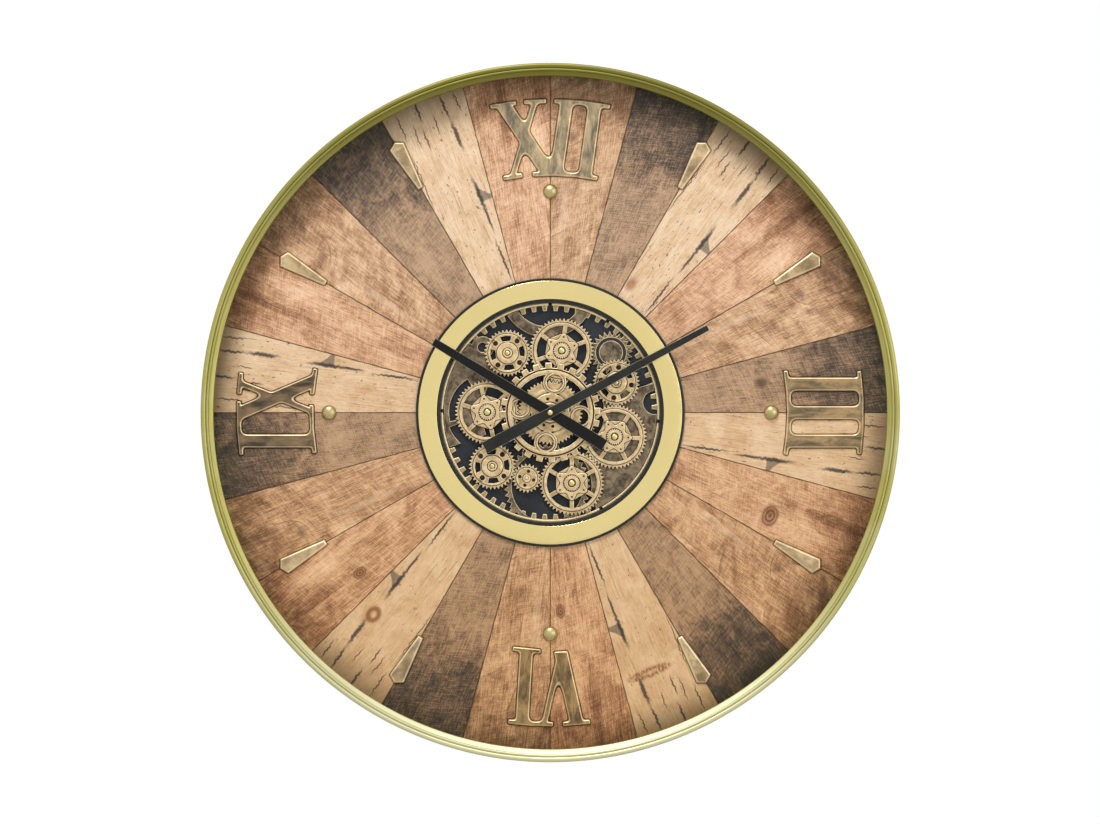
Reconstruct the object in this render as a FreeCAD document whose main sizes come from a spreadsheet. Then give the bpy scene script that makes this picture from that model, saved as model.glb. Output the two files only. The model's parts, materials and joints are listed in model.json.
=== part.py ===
import FreeCAD, Part
import os
import re

import Sketcher
from FreeCAD import Placement, Rotation, Vector

# A large round wall clock: a spun metal rim and a flat glass over a dial of wooden planks,
# with metal Roman numerals, and an open train of moving gears in a well behind two hands.
# Depths are measured from the wall, along the clock's axis towards the room. Bearings are
# degrees clockwise from twelve o'clock, as seen from the room. The origin is on that axis,
# at the wall, with +Z up and the room on the -Y side. Lengths are in millimetres.

doc = FreeCAD.newDocument("gear_wall_clock")
sizes = doc.addObject("Spreadsheet::Sheet", "sizes")

SIZES = {
    # case
    "rim_radius": 400,
    "rim_wall": 1.5,
    "case_depth": 70,
    "face_width": 14.5,
    "bead_width": 5.8,
    "bead_rise": 1.6,
    "lip_slope": 2.2,
    "lip_depth": 11,
    "glass_thickness": 3,
    "fit_gap": 0.5,
    # dial: a board and twenty-four planks
    "dial_depth": 26,
    "board_thickness": 4,
    "plank_thickness": 3,
    "plank_gap": 0.7,
    "dial_inset": 3,
    "dial_hole": 131,
    # brackets and hanger
    "bracket_count": 6,
    "bracket_width": 22,
    "bracket_sheet": 1.5,
    "bracket_lip": 4,
    "bracket_foot": 22,
    "hanger_depth": 2,
    "hanger_width": 60,
    "hanger_height": 52,
    "hanger_sheet": 2,
    "hanger_flange": 18,
    "keyhole_entry": 5.5,
    "keyhole_slot": 2.75,
    "keyhole_rise": 12,
    "keyhole_drop": 34,
    # numerals: each stroke's middle line meets the outer and the inner bar this far to the right
    "numeral_inset": 39,
    "numeral_height": 88.5,
    "numeral_bar": 5,
    "numeral_sheet": 3,
    "thick_stroke": 15.4,
    "stem_stroke": 15,
    "thin_stroke": 6.4,
    "twelve_thick_out": -54,
    "twelve_thick_in": -2,
    "twelve_thin_out": -17.6,
    "twelve_thin_in": -43,
    "twelve_first_out": 19,
    "twelve_first_in": 6.9,
    "twelve_second_out": 51.5,
    "twelve_second_in": 40,
    "three_spread": 32.8,
    "six_thick_out": -30.5,
    "six_thin_out": 6.9,
    "six_point": -12,
    "six_stem_out": 32.5,
    "six_stem_in": 27.3,
    "nine_stem": -32.7,
    "nine_thick_out": -1,
    "nine_thick_in": 36,
    "nine_thin_out": 34,
    "nine_thin_in": 2,
    # batons
    "baton_inset": 41,
    "baton_length": 61,
    "baton_point": 5.5,
    "baton_foot_half": 3.1,
    "baton_head_half": 9.5,
    # gear well
    "plate_half": 150,
    "plate_thickness": 2,
    "bezel_inner": 126.3,
    "bezel_outer": 154.7,
    "bezel_sheet": 3,
    "tooth_ring_root": 123.2,
    "tooth_ring_tip": 117,
    "tooth_ring_sheet": 1.4,
    "tooth_ring_count": 60,
    "tooth_ring_base": 6.2,
    "tooth_ring_land": 4.4,
    # fixed decorative plates in the well
    "decor_sheet": 1.5,
    "decor_edge": 122.8,
    "decor_hole": 5,
    "arm_outer": 54.5,
    "arm_inner": 41.5,
    "arm_x": -3.2,
    "arm_z": 140.7,
    "left_plate_inner": 78,
    "right_plate_inner": 62,
    "window_inner": 30,
    "upper_window_outer": 44,
    "lower_window_outer": 47,
    "eye_x": -78,
    "eye_z": 75,
    "eye_radius": 13,
    "eye_hole": 5.5,
    "notch_radius": 13.5,
    "notch_ring": 121,
    "crescent_x": -3.5,
    "crescent_z": -85,
    "crescent_inner": 41,
    "crescent_root": 45,
    "crescent_tip": 50,
    "crescent_teeth": 43,
    "fixed_x": 69.9,
    "fixed_z": 69.1,
    "fixed_tip": 25.7,
    "fixed_root": 19.2,
    "fixed_teeth": 24,
    # moving gears
    "gear_module": 1.45,
    "addendum": 1.3,
    "dedendum": 2.6,
    "star_teeth": 50,
    "hole_teeth": 36,
    "pinion_teeth": 22,
    "gear_depth": 29.4,
    "gear_face": 3,
    "centre_rise": 0.4,
    "star_rim": 29,
    "star_hub": 19.5,
    "spoke_width": 4.6,
    "slot_inner": 14.3,
    "slot_outer": 20,
    "arbor_radius": 2,
    "arbor_end": 1,
    "running_gap": 0.06,
    "end_float": 0.15,
    "standoff_flats": 7,
    # ring gear in front of the centre wheel
    "ring_gear_face": 3,
    "ring_gear_tip": 57.4,
    "ring_gear_root": 51.6,
    "ring_gear_teeth": 24,
    "ring_gap_tip": 8.2,
    "ring_gap_root": 5.8,
    "ring_gear_window": 44,
    "ring_gear_hub": 22,
    "porthole_ring": 35,
    "porthole_radius": 9.3,
    "porthole_band": 4.2,
    # hands, their tubes and the bush they turn in
    "minute_arbor_radius": 1.6,
    "hour_tube_radius": 2.6,
    "bush_radius": 3.9,
    "bush_front": 39.6,
    "hour_hand_depth": 41,
    "minute_hand_depth": 44.4,
    "hand_sheet": 1.2,
    "hour_length": 157,
    "hour_tail": 73,
    "hour_root_half": 6.3,
    "hour_tip_half": 4.6,
    "minute_length": 205.8,
    "minute_tail": 85.8,
    "minute_root_half": 5.7,
    "minute_tip_half": 3.4,
    "tail_half": 6.9,
    "tail_neck": 8,
    "tail_shoulder": 20,
    "cap_radius": 3.2,
    "cap_height": 3.2,
    # clock movement
    "works_depth": 8,
    "works_half": 28,
    "works_top": 24,
    "works_bottom": 34,
    "works_wall": 1.5,
    "works_bore": 3.2,
    "works_bore_bottom": 14,
    "bush_seat": 1.5,
    "cell_radius": 7.15,
    "cell_length": 49.5,
    "cell_sink": 7.6,
    "bay_height": 15.2,
    "bay_depth": 15,
    "contact_sheet": 1.1,
    "contact_width": 8,
    "knob_offset": 12,
    "knob_radius": 5.5,
    "knob_height": 2.4,
    "knob_stem": 1.5,
    "knob_stem_length": 4,
    # gear drive
    "drive_left": 44,
    "drive_right": 40,
    "drive_top": 50,
    "drive_bottom": 109,
    "drive_bay_left": 5,
    "drive_bay_right": 37,
    "drive_cell_gap": 15.4,
    "drive_shaft_radius": 2,
    "drive_bore": 3,
    "cut_over": 1,
}

TURNS = {
    # bearings from one gear's centre to the next, and of one tooth gap of the centre wheel
    "to_top_gear": 10.4,
    "to_left_gear": 270.4,
    "to_upper_gear": 267.5,
    "to_lower_gear": 174.7,
    "to_pinion": 109.4,
    "to_bottom_gear": 96.1,
    "to_right_gear": 42.7,
    "to_side_gear": 1.7,
    "centre_phase": 2,
    # bearings of spokes, slots and teeth
    "top_spokes": 8.7,
    "left_spokes": 46.5,
    "right_spokes": 33.5,
    "bottom_spokes": 0,
    "upper_holes": 38.5,
    "lower_holes": 40.7,
    "side_holes": 9,
    "slot_half": 19,
    "ring_gear_phase": 5.5,
    "porthole_phase": 8.5,
    "fixed_phase": 4,
    "crescent_phase": 2,
    # numerals: where each stretch of a bar starts and ends
    "twelve_outer_1": -11.06,
    "twelve_outer_2": -6.3,
    "twelve_outer_3": -4.84,
    "twelve_outer_4": -0.76,
    "twelve_outer_5": 0.78,
    "twelve_outer_6": 11.05,
    "twelve_inner_1": -11.3,
    "twelve_inner_2": -6.7,
    "twelve_inner_3": -4.2,
    "twelve_inner_4": 11.4,
    "bar_turn": 5.5,
    "three_outer": 7.65,
    "three_inner": 10.1,
    "six_outer_1": -7.37,
    "six_outer_2": -2.32,
    "six_outer_3": -0.52,
    "six_outer_4": 7.77,
    "six_inner_1": 2.3,
    "six_inner_2": 9.04,
    "nine_outer_1": -7.8,
    "nine_outer_2": 2.07,
    "nine_outer_3": 3.45,
    "nine_outer_4": 7.35,
    "nine_inner_1": -9.7,
    "nine_inner_2": 1.8,
    "nine_inner_3": 4.4,
    "nine_inner_4": 10.6,
    # hands
    "minute_bearing": 61.7,
    "hour_bearing": 301.25,
    # fixed plates
    "left_plate_bearing": 281,
    "left_plate_half": 30,
    "right_plate_bearing": 113.5,
    "right_plate_half": 39.5,
    "upper_window_bearing": 292.5,
    "upper_window_half": 36.5,
    "lower_window_bearing": 226,
    "lower_window_half": 22,
    "notch_bearing": 84.5,
    # dial
    "plank_turn": 15,
    "hour_turn": 30,
    "quarter_turn": 90,
    # thin plates are cut in straight stretches of about this turn
    "stretch_turn": 8,
    "arm_half": 64,
}

for row, (alias, value) in enumerate({**SIZES, **TURNS}.items(), start=1):
    sizes.set("A%d" % row, alias)
    sizes.set("B%d" % row, str(value))
    sizes.setAlias("B%d" % row, alias)
SHEET_OF = dict.fromkeys({**SIZES, **TURNS}, "sizes.")

# Places worked out from the sizes: each moving gear's axis and the bearing of one of its tooth gaps
train = doc.addObject("Spreadsheet::Sheet", "train")


def bound(text):
    """The expression text with each name pointed at its cell."""
    return re.sub(r"\b[a-z][a-z_0-9]*\b", lambda m: SHEET_OF.get(m[0], "") + m[0], text)


def derive(name, text):
    """A named cell worked out from others."""
    cell = "A%d" % (1 + sum(sheet == "train." for sheet in SHEET_OF.values()))
    train.set(cell, "=" + bound(text).replace("train.", ""))
    train.setAlias(cell, name)
    SHEET_OF[name] = "train."


derive("dial_corner", "rim_radius - dial_inset")
derive("numeral_outer", "rim_radius - numeral_inset")
derive("numeral_inner", "numeral_outer - numeral_height")
derive("baton_tip", "rim_radius - baton_inset")
derive("baton_shoulder", "baton_tip - baton_point")
derive("baton_inner", "baton_tip - baton_length")

# Gear: its teeth, the gear it meshes with, and the bearing from that gear's centre to its own
GEARS = {
    "centre_wheel": ("star_teeth", None, None),
    "star_gear_top": ("star_teeth", "centre_wheel", "to_top_gear"),
    "star_gear_left": ("star_teeth", "centre_wheel", "to_left_gear"),
    "hole_gear_upper": ("hole_teeth", "star_gear_top", "to_upper_gear"),
    "hole_gear_lower": ("hole_teeth", "star_gear_left", "to_lower_gear"),
    "drive_pinion": ("pinion_teeth", "hole_gear_lower", "to_pinion"),
    "star_gear_bottom": ("star_teeth", "drive_pinion", "to_bottom_gear"),
    "star_gear_right": ("star_teeth", "star_gear_bottom", "to_right_gear"),
    "hole_gear_side": ("hole_teeth", "star_gear_right", "to_side_gear"),
}

for label, (teeth, parent, bearing) in GEARS.items():
    if parent is None:
        derive(label + "_x", "0")
        derive(label + "_z", "0")
        derive(label + "_phase", "centre_phase")
    else:
        reach = "gear_module * (%s + %s) / 2" % (GEARS[parent][0], teeth)
        ratio = "%s / %s" % (GEARS[parent][0], teeth)
        half_step = "180 / " + teeth
        derive(label + "_x", "%s_x + %s * sin(%s)" % (parent, reach, bearing))
        derive(label + "_z", "%s_z + %s * cos(%s)" % (parent, reach, bearing))
        derive(label + "_phase", "%s + 180 - %s + (%s - %s_phase) * %s" % (bearing, half_step, bearing, parent, ratio))
doc.recompute()


def number(thing, text):
    """The expression's value as a plain number."""
    value = thing.evalExpression(bound(text))
    return float(getattr(value, "Value", value))


def plane(body, role):
    """One of the body's own origin planes or axes."""
    return next(item for item in body.Origin.OriginFeatures if item.Role == role)


def new_body(label):
    """An empty body under its own name."""
    body = doc.addObject("PartDesign::Body", label)
    body.Label = label
    return body


def face_sketch(body, depth="0", turn="0", x="0", z="0"):
    """A sketch facing the room at a depth: its x runs right, its y up, and both turn clockwise."""
    sketch = body.newObject("Sketcher::SketchObject", body.Name + "_face")
    sketch.AttachmentSupport = (plane(body, "XZ_Plane"), [""])
    sketch.MapMode = "FlatFace"
    sketch.setExpression(".AttachmentOffset.Base.x", bound(x))
    sketch.setExpression(".AttachmentOffset.Base.y", bound(z))
    sketch.setExpression(".AttachmentOffset.Base.z", bound(depth))
    sketch.setExpression(".AttachmentOffset.Rotation.Angle", "-(%s)" % bound(turn))
    return sketch


def side_sketch(body, x="0"):
    """A sketch for turned shapes: its x is the radius and its y the depth from the wall."""
    sketch = body.newObject("Sketcher::SketchObject", body.Name + "_side")
    sketch.AttachmentSupport = (plane(body, "XY_Plane"), [""])
    sketch.MapMode = "FlatFace"
    sketch.AttachmentOffset = Placement(Vector(), Rotation(Vector(1, 0, 0), 180))
    sketch.setExpression(".AttachmentOffset.Base.x", bound(x))
    return sketch


def hold(sketch, kind, *where, value):
    """One dimension of the sketch, bound to an expression."""
    index = sketch.addConstraint(Sketcher.Constraint(kind, *where, number(sketch, value)))
    sketch.setExpression("Constraints[%d]" % index, bound(value))


def circle(sketch, radius, x="0", y="0"):
    """A full circle of the sketch."""
    middle = Vector(number(sketch, x), number(sketch, y), 0)
    index = sketch.addGeometry(Part.Circle(middle, Vector(0, 0, 1), number(sketch, radius)))
    hold(sketch, "DistanceX", index, 3, value=x)
    hold(sketch, "DistanceY", index, 3, value=y)
    hold(sketch, "Radius", index, value=radius)
    return sketch


def arc_between(start, end, radius, side):
    """The short arc between two points that bulges to the left (+1) or right (-1) of the way."""
    chord = end - start
    left = Vector(-chord.y, chord.x, 0).normalize()
    reach = max(radius**2 - (chord.Length / 2) ** 2, 0) ** 0.5
    top = (start + end) / 2 + left * side * (radius - reach)
    return Part.Arc(start, top, end)


def outline(sketch, points):
    """A closed outline. A point is (x, y), or (x, y, radius, side) where an arc leaves it."""
    spots = [Vector(number(sketch, point[0]), number(sketch, point[1]), 0) for point in points]
    edges = []
    for i, point in enumerate(points):
        start = spots[i]
        end = spots[(i + 1) % len(spots)]
        if len(point) == 2:
            shape = Part.LineSegment(start, end)
        else:
            shape = arc_between(start, end, number(sketch, point[2]), point[3])
        index = sketch.addGeometry(shape)
        first = 1 if sketch.getPoint(index, 1).distanceToPoint(start) < end.distanceToPoint(start) / 2 else 2
        edges.append((index, first, 3 - first))
    for i, point in enumerate(points):
        index, first, last = edges[i]
        follower, its_first, _ = edges[(i + 1) % len(edges)]
        sketch.addConstraint(Sketcher.Constraint("Coincident", index, last, follower, its_first))
        hold(sketch, "DistanceX", index, first, value=point[0])
        hold(sketch, "DistanceY", index, first, value=point[1])
        if len(point) == 4:
            hold(sketch, "Radius", index, value=point[2])
    return sketch


def rectangle(sketch, left, bottom, right, top):
    """An upright rectangle."""
    return outline(sketch, [(left, bottom), (right, bottom), (right, top), (left, top)])


def block(sketch, x, z, half_width, half_height):
    """An upright rectangle about its middle."""
    sides = ["%s %s %s" % (x, side, half_width) for side in ("-", "+")]
    ends = ["%s %s %s" % (z, side, half_height) for side in ("-", "+")]
    return rectangle(sketch, sides[0], ends[0], sides[1], ends[1])


def polar(radius, bearing):
    """The x and y of a point at a radius and a bearing."""
    return "(%s) * sin(%s)" % (radius, bearing), "(%s) * cos(%s)" % (radius, bearing)


def sector(sketch, inner, outer, half_angle):
    """A piece of a ring in straight stretches, the same on both sides of the sketch's y."""
    count = round(number(sketch, "2 * %s / stretch_turn" % half_angle)) or 1
    turns = ["%s * %d / %d" % (half_angle, 2 * k - count, count) for k in range(count + 1)]
    return outline(sketch, [polar(outer, one) for one in turns] + [polar(inner, one) for one in reversed(turns)])


def polygon(sketch, radius, sides, x="0", z="0"):
    """A regular outline about a point, with a corner straight above it."""
    corners = [polar(radius, "%d * 360 / %d" % (k, sides)) for k in range(sides)]
    return outline(sketch, [("%s + %s" % (x, across), "%s + %s" % (z, up)) for across, up in corners])


def feature(body, kind, sketch):
    """A feature of the body made from one of its sketches."""
    item = body.newObject("PartDesign::" + kind, body.Name + "_" + kind.lower())
    item.Profile = sketch
    sketch.Visibility = False
    return item


def pad(body, sketch, thickness, centred=False):
    """Material from the sketch towards the room, or to both sides of it."""
    item = feature(body, "Pad", sketch)
    item.Midplane = centred
    item.setExpression("Length", bound(thickness))
    return item


def pocket(body, sketch, depth=None, from_wall=False):
    """A cut right through, or of a depth, sunk from the room's side or from the wall's side."""
    item = feature(body, "Pocket", sketch)
    if depth is None:
        item.Type = "ThroughAll"
        item.Midplane = True
    else:
        item.Reversed = from_wall
        item.setExpression("Length", bound(depth))
    return item


def turned(body, sketch, kind="Revolution", axis=None):
    """A full turn of the sketch about the body's own axis, or about the sketch's."""
    item = feature(body, kind, sketch)
    item.ReferenceAxis = axis or (plane(body, "Y_Axis"), [""])
    item.Angle = 360
    return item


def around(body, items, count):
    """The features repeated evenly around the body's axis."""
    pattern = body.newObject("PartDesign::PolarPattern", body.Name + "_around")
    pattern.Originals = items
    pattern.Axis = (plane(body, "Y_Axis"), [""])
    pattern.Angle = 360
    pattern.setExpression("Occurrences", bound(count))
    body.Tip = pattern
    return pattern


def place(body, x="0", z="0", bearing="0"):
    """The body's axis moved to a point, and the body turned clockwise."""
    body.Placement = Placement(Vector(), Rotation(Vector(0, 1, 0), 1))
    body.setExpression(".Placement.Base.x", bound(x))
    body.setExpression(".Placement.Base.z", bound(z))
    body.setExpression(".Placement.Rotation.Angle", bound(bearing))


def plate(label, depth, thickness, *radii):
    """A flat disc, or with a second radius a flat ring."""
    body = new_body(label)
    sketch = face_sketch(body, depth)
    for radius in radii:
        circle(sketch, radius)
    pad(body, sketch, thickness)
    return body


# Places that several pieces share, worked out from the sizes
SKIRT_INNER = "(rim_radius - rim_wall)"
LIP_INNER = "(rim_radius - face_width)"
GLASS_FRONT = "(case_depth - lip_depth)"
GLASS_BACK = "(case_depth - lip_depth - glass_thickness)"
PLATE_BACK = "(dial_depth - plate_thickness)"
PLANK_BACK = "(dial_depth + board_thickness)"
DIAL_FRONT = "(dial_depth + board_thickness + plank_thickness)"
DECOR_BACK = "(dial_depth + tooth_ring_sheet)"
GEAR_FRONT = "(gear_depth + gear_face)"
WORKS_FRONT = PLATE_BACK
ARBOR_BORE = "arbor_radius + running_gap"
TUBE_INNER = "minute_arbor_radius + running_gap"


# Counts: planks, spokes of a large gear, sides of a round cut in thin plate, stretches along a fan's side
DIAL_PLANKS = 24
SPOKES = "6"
ROUND_SIDES = 20
FAN_STRETCHES = 5

# Case: rim, glass, dial board, planks, brackets and hanger


def case_rim():
    """Spun rim: a thin skirt behind a front with a raised outer bead and a sloped inner band."""
    body = new_body("case_rim")
    profile = outline(side_sketch(body), [
        (SKIRT_INNER, "0"),
        ("rim_radius", "0"),
        ("rim_radius", "case_depth - bead_rise"),
        ("rim_radius - bead_width / 2", "case_depth"),
        (LIP_INNER, "case_depth - lip_slope"),
        (LIP_INNER, GLASS_FRONT),
        (SKIRT_INNER, GLASS_FRONT),
    ])
    turned(body, profile)


def front_glass():
    """The flat glass behind the rim's lip."""
    plate("front_glass", GLASS_BACK, "glass_thickness", SKIRT_INNER + " - fit_gap")


def dial_polygon(body, depth, radius, hole):
    """A sketch of the dial's outline and its middle hole, with a corner at each seam of the planks."""
    sketch = face_sketch(body, depth)
    for reach in (radius, hole):
        seams = ["%d * plank_turn" % k for k in range(DIAL_PLANKS)]
        outline(sketch, [polar(reach, seam) for seam in seams])
    return sketch


def dial_board():
    """The board behind the planks, sawn straight along each plank's end."""
    body = new_body("dial_board")
    pad(body, dial_polygon(body, "dial_depth", "dial_corner", "dial_hole"), "board_thickness")


def planks(label, first, step):
    """Six tapered planks of one colour glued side by side on the board, with thin seams between them."""
    body = new_body(label)
    for k in range(first, DIAL_PLANKS, step):
        sketch = face_sketch(body, PLANK_BACK, "(%d + 1 / 2) * plank_turn" % k)
        corners = []
        for reach, side in (("dial_hole", "-"), ("dial_corner", "-"), ("dial_corner", ""), ("dial_hole", "")):
            half = "%s(%s * sin(plank_turn / 2) - plank_gap / 2)" % (side, reach)
            corners.append((half, reach + " * cos(plank_turn / 2)"))
        pad(body, outline(sketch, corners), "plank_thickness")


def case_brackets():
    """Bent sheet brackets inside the skirt: each holds the glass in front and carries the board behind."""
    body = new_body("case_brackets")
    web = "sqrt(%s^2 - bracket_width^2 / 4)" % SKIRT_INNER
    inner = web + " - bracket_sheet"
    back = "dial_depth - bracket_sheet"
    profile = outline(side_sketch(body), [
        (web, back),
        (web, GLASS_BACK),
        (web + " - bracket_lip", GLASS_BACK),
        (web + " - bracket_lip", GLASS_BACK + " - bracket_sheet"),
        (inner, GLASS_BACK + " - bracket_sheet"),
        (inner, "dial_depth"),
        (web + " - bracket_foot", "dial_depth"),
        (web + " - bracket_foot", back),
    ])
    upright = pad(body, profile, "bracket_width", centred=True)
    around(body, [upright], "bracket_count")
    place(body, bearing="plank_turn / 2")


def hanger_bracket():
    """An angle plate under the top of the skirt, with a keyhole for one wall screw."""
    body = new_body("hanger_bracket")
    half = "hanger_width / 2"
    corner = "sqrt(%s^2 - hanger_width^2 / 4)" % SKIRT_INNER
    top = [("-" + half, corner, SKIRT_INNER, 1), (half, corner)]
    pad(body, outline(face_sketch(body, "hanger_depth"), top + [
        (half, "%s - hanger_height" % SKIRT_INNER),
        ("-" + half, "%s - hanger_height" % SKIRT_INNER),
    ]), "hanger_sheet")
    pad(body, outline(face_sketch(body, "hanger_depth"), top + [
        (half, corner + " - hanger_sheet"),
        ("-" + half, corner + " - hanger_sheet"),
    ]), "hanger_flange")
    middle = SKIRT_INNER + " - keyhole_drop"
    pocket(body, circle(face_sketch(body, z=middle), "keyhole_entry"))
    pocket(body, outline(face_sketch(body, z=middle), [
        ("keyhole_slot", "0"),
        ("keyhole_slot", "keyhole_rise", "keyhole_slot", -1),
        ("0", "keyhole_rise + keyhole_slot", "keyhole_slot", -1),
        ("-keyhole_slot", "keyhole_rise"),
        ("-keyhole_slot", "0"),
    ]))


# Numerals and batons on the planks


def stroke(body, turn, width, out, into):
    """A straight stroke whose ends lie inside the outer and the inner bar."""
    outer = "(numeral_outer - numeral_bar / 2)"
    inner = "(numeral_inner + numeral_bar / 2)"
    rise = "(numeral_outer - numeral_inner - numeral_bar)"
    half = "%s / 2 * sqrt(1 + ((%s - %s) / %s)^2)" % (width, out, into, rise)
    corners = []
    for middle, radius, side in ((out, outer, "-"), (out, outer, "+"), (into, inner, "+"), (into, inner, "-")):
        x = "(%s %s %s)" % (middle, side, half)
        corners.append((x, "sqrt(%s^2 - %s^2)" % (radius, x)))
    pad(body, outline(face_sketch(body, DIAL_FRONT, turn), corners), "numeral_sheet")


def bar(body, turn, edge, start, end):
    """A narrow bar that follows a circle of the dial from one bearing to another in straight stretches."""
    sketch = face_sketch(body, DIAL_FRONT, turn)
    outer, inner = {
        "outer": ("numeral_outer", "numeral_outer - numeral_bar"),
        "inner": ("numeral_inner + numeral_bar", "numeral_inner"),
    }[edge]
    stretches = round(number(sketch, "(%s - (%s)) / bar_turn" % (end, start))) or 1
    turns = ["(%s + (%s - (%s)) * %d / %d)" % (start, end, start, k, stretches) for k in range(stretches + 1)]
    points = [polar(outer, one) for one in turns] + [polar(inner, one) for one in reversed(turns)]
    pad(body, outline(sketch, points), "numeral_sheet")


def numeral(label, quarter, strokes, outer_bars, inner_bars):
    """A flat metal numeral: slanted or upright strokes between an outer and an inner bar."""
    body = new_body(label)
    turn = "%d * quarter_turn" % quarter
    for width, out, into in strokes:
        stroke(body, turn, width, out, into)
    for edge, bars in (("outer", outer_bars), ("inner", inner_bars)):
        for start, end in bars:
            bar(body, turn, edge, start, end)


def numerals():
    """Twelve, three, six and nine, each with its foot towards the dial's middle."""
    numeral("numeral_xii", 0, (
        ("thick_stroke", "twelve_thick_out", "twelve_thick_in"),
        ("thin_stroke", "twelve_thin_out", "twelve_thin_in"),
        ("stem_stroke", "twelve_first_out", "twelve_first_in"),
        ("stem_stroke", "twelve_second_out", "twelve_second_in"),
    ), (
        ("twelve_outer_1", "twelve_outer_2"),
        ("twelve_outer_3", "twelve_outer_4"),
        ("twelve_outer_5", "twelve_outer_6"),
    ), (
        ("twelve_inner_1", "twelve_inner_2"),
        ("twelve_inner_3", "twelve_inner_4"),
    ))
    numeral("numeral_iii", 1, (
        ("stem_stroke", "(-three_spread)", "(-three_spread)"),
        ("stem_stroke", "0", "0"),
        ("stem_stroke", "three_spread", "three_spread"),
    ), (
        ("-three_outer", "three_outer"),
    ), (
        ("-three_inner", "three_inner"),
    ))
    numeral("numeral_vi", 2, (
        ("thick_stroke", "six_thick_out", "six_point"),
        ("thin_stroke", "six_thin_out", "six_point"),
        ("stem_stroke", "six_stem_out", "six_stem_in"),
    ), (
        ("six_outer_1", "six_outer_2"),
        ("six_outer_3", "six_outer_4"),
    ), (
        ("six_inner_1", "six_inner_2"),
    ))
    numeral("numeral_ix", 3, (
        ("stem_stroke", "nine_stem", "nine_stem"),
        ("thick_stroke", "nine_thick_out", "nine_thick_in"),
        ("thin_stroke", "nine_thin_out", "nine_thin_in"),
    ), (
        ("nine_outer_1", "nine_outer_2"),
        ("nine_outer_3", "nine_outer_4"),
    ), (
        ("nine_inner_1", "nine_inner_2"),
        ("nine_inner_3", "nine_inner_4"),
    ))


def hour_batons():
    """A tapered baton with a pointed head at each hour between the numerals."""
    body = new_body("hour_batons")
    for hour in (1, 2, 4, 5, 7, 8, 10, 11):
        sketch = face_sketch(body, DIAL_FRONT, "%d * hour_turn" % hour)
        pad(body, outline(sketch, [
            ("-baton_foot_half", "baton_inner"),
            ("-baton_head_half", "baton_shoulder"),
            ("0", "baton_tip"),
            ("baton_head_half", "baton_shoulder"),
            ("baton_foot_half", "baton_inner"),
        ]), "numeral_sheet")


# Gear well: mounting plate, bezel, toothed ring and decorative plates


def mounting_plate():
    """The square plate behind the dial's hole that carries every gear, bored for the hands and the drive."""
    body = new_body("mounting_plate")
    pad(body, rectangle(
        face_sketch(body, PLATE_BACK),
        "-plate_half",
        "-plate_half",
        "plate_half",
        "plate_half",
    ), "plate_thickness")
    pocket(body, circle(face_sketch(body), "bush_radius"))
    pocket(body, circle(face_sketch(body), "drive_bore", "drive_pinion_x", "drive_pinion_z"))


def bezel_ring():
    """The flat ring on the planks round the well."""
    plate("bezel_ring", DIAL_FRONT, "bezel_sheet", "bezel_outer", "bezel_inner")


def tooth_ring():
    """A thin ring in the board's hole, on the mounting plate, with blunt teeth pointing inwards."""
    body = new_body("tooth_ring")
    sketch = face_sketch(body, "dial_depth")
    outline(sketch, [polar("dial_hole", "%d * plank_turn" % k) for k in range(DIAL_PLANKS)])
    corner = "tooth_ring_tip / cos(180 / tooth_ring_count)"
    teeth = round(number(sketch, "tooth_ring_count"))
    outline(sketch, [polar(corner, "%d * 360 / tooth_ring_count" % k) for k in range(teeth)])
    pad(body, sketch, "tooth_ring_sheet")
    pitch_share = "2 * pi * %s / tooth_ring_count"
    root = "((%s - tooth_ring_base) / 2)" % (pitch_share % "tooth_ring_root")
    tip = "((%s - tooth_ring_land) / 2)" % (pitch_share % "tooth_ring_tip")
    cut = outline(face_sketch(body), [
        ("-" + tip, "tooth_ring_tip - cut_over"),
        ("-" + root, "tooth_ring_root"),
        (root, "tooth_ring_root"),
        (tip, "tooth_ring_tip - cut_over"),
    ])
    around(body, [pocket(body, cut)], "tooth_ring_count")


def top_arm():
    """A curved arm that hangs into the top of the well from both of its ends."""
    body = new_body("top_arm")
    sketch = face_sketch(body, DECOR_BACK, "2 * quarter_turn", "arm_x", "arm_z")
    pad(body, sector(sketch, "arm_inner", "arm_outer", "arm_half"), "decor_sheet")
    sketch = circle(face_sketch(body), "decor_edge")
    pocket(body, circle(sketch, "decor_edge + arm_z"))


def left_plate():
    """A plate along the well's left side, with curved windows about the left gear and a round eye."""
    body = new_body("left_plate")
    sketch = face_sketch(body, DECOR_BACK, "left_plate_bearing")
    pad(body, sector(sketch, "left_plate_inner", "decor_edge", "left_plate_half"), "decor_sheet")
    pad(body, polygon(face_sketch(body, DECOR_BACK), "eye_radius", ROUND_SIDES, "eye_x", "eye_z"), "decor_sheet")
    x = "star_gear_left_x"
    z = "star_gear_left_z"
    upper = face_sketch(body, turn="upper_window_bearing", x=x, z=z)
    pocket(body, sector(upper, "window_inner", "upper_window_outer", "upper_window_half"))
    lower = face_sketch(body, turn="lower_window_bearing", x=x, z=z)
    pocket(body, sector(lower, "window_inner", "lower_window_outer", "lower_window_half"))
    pocket(body, polygon(face_sketch(body), "eye_hole", ROUND_SIDES, "eye_x", "eye_z"))


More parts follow.
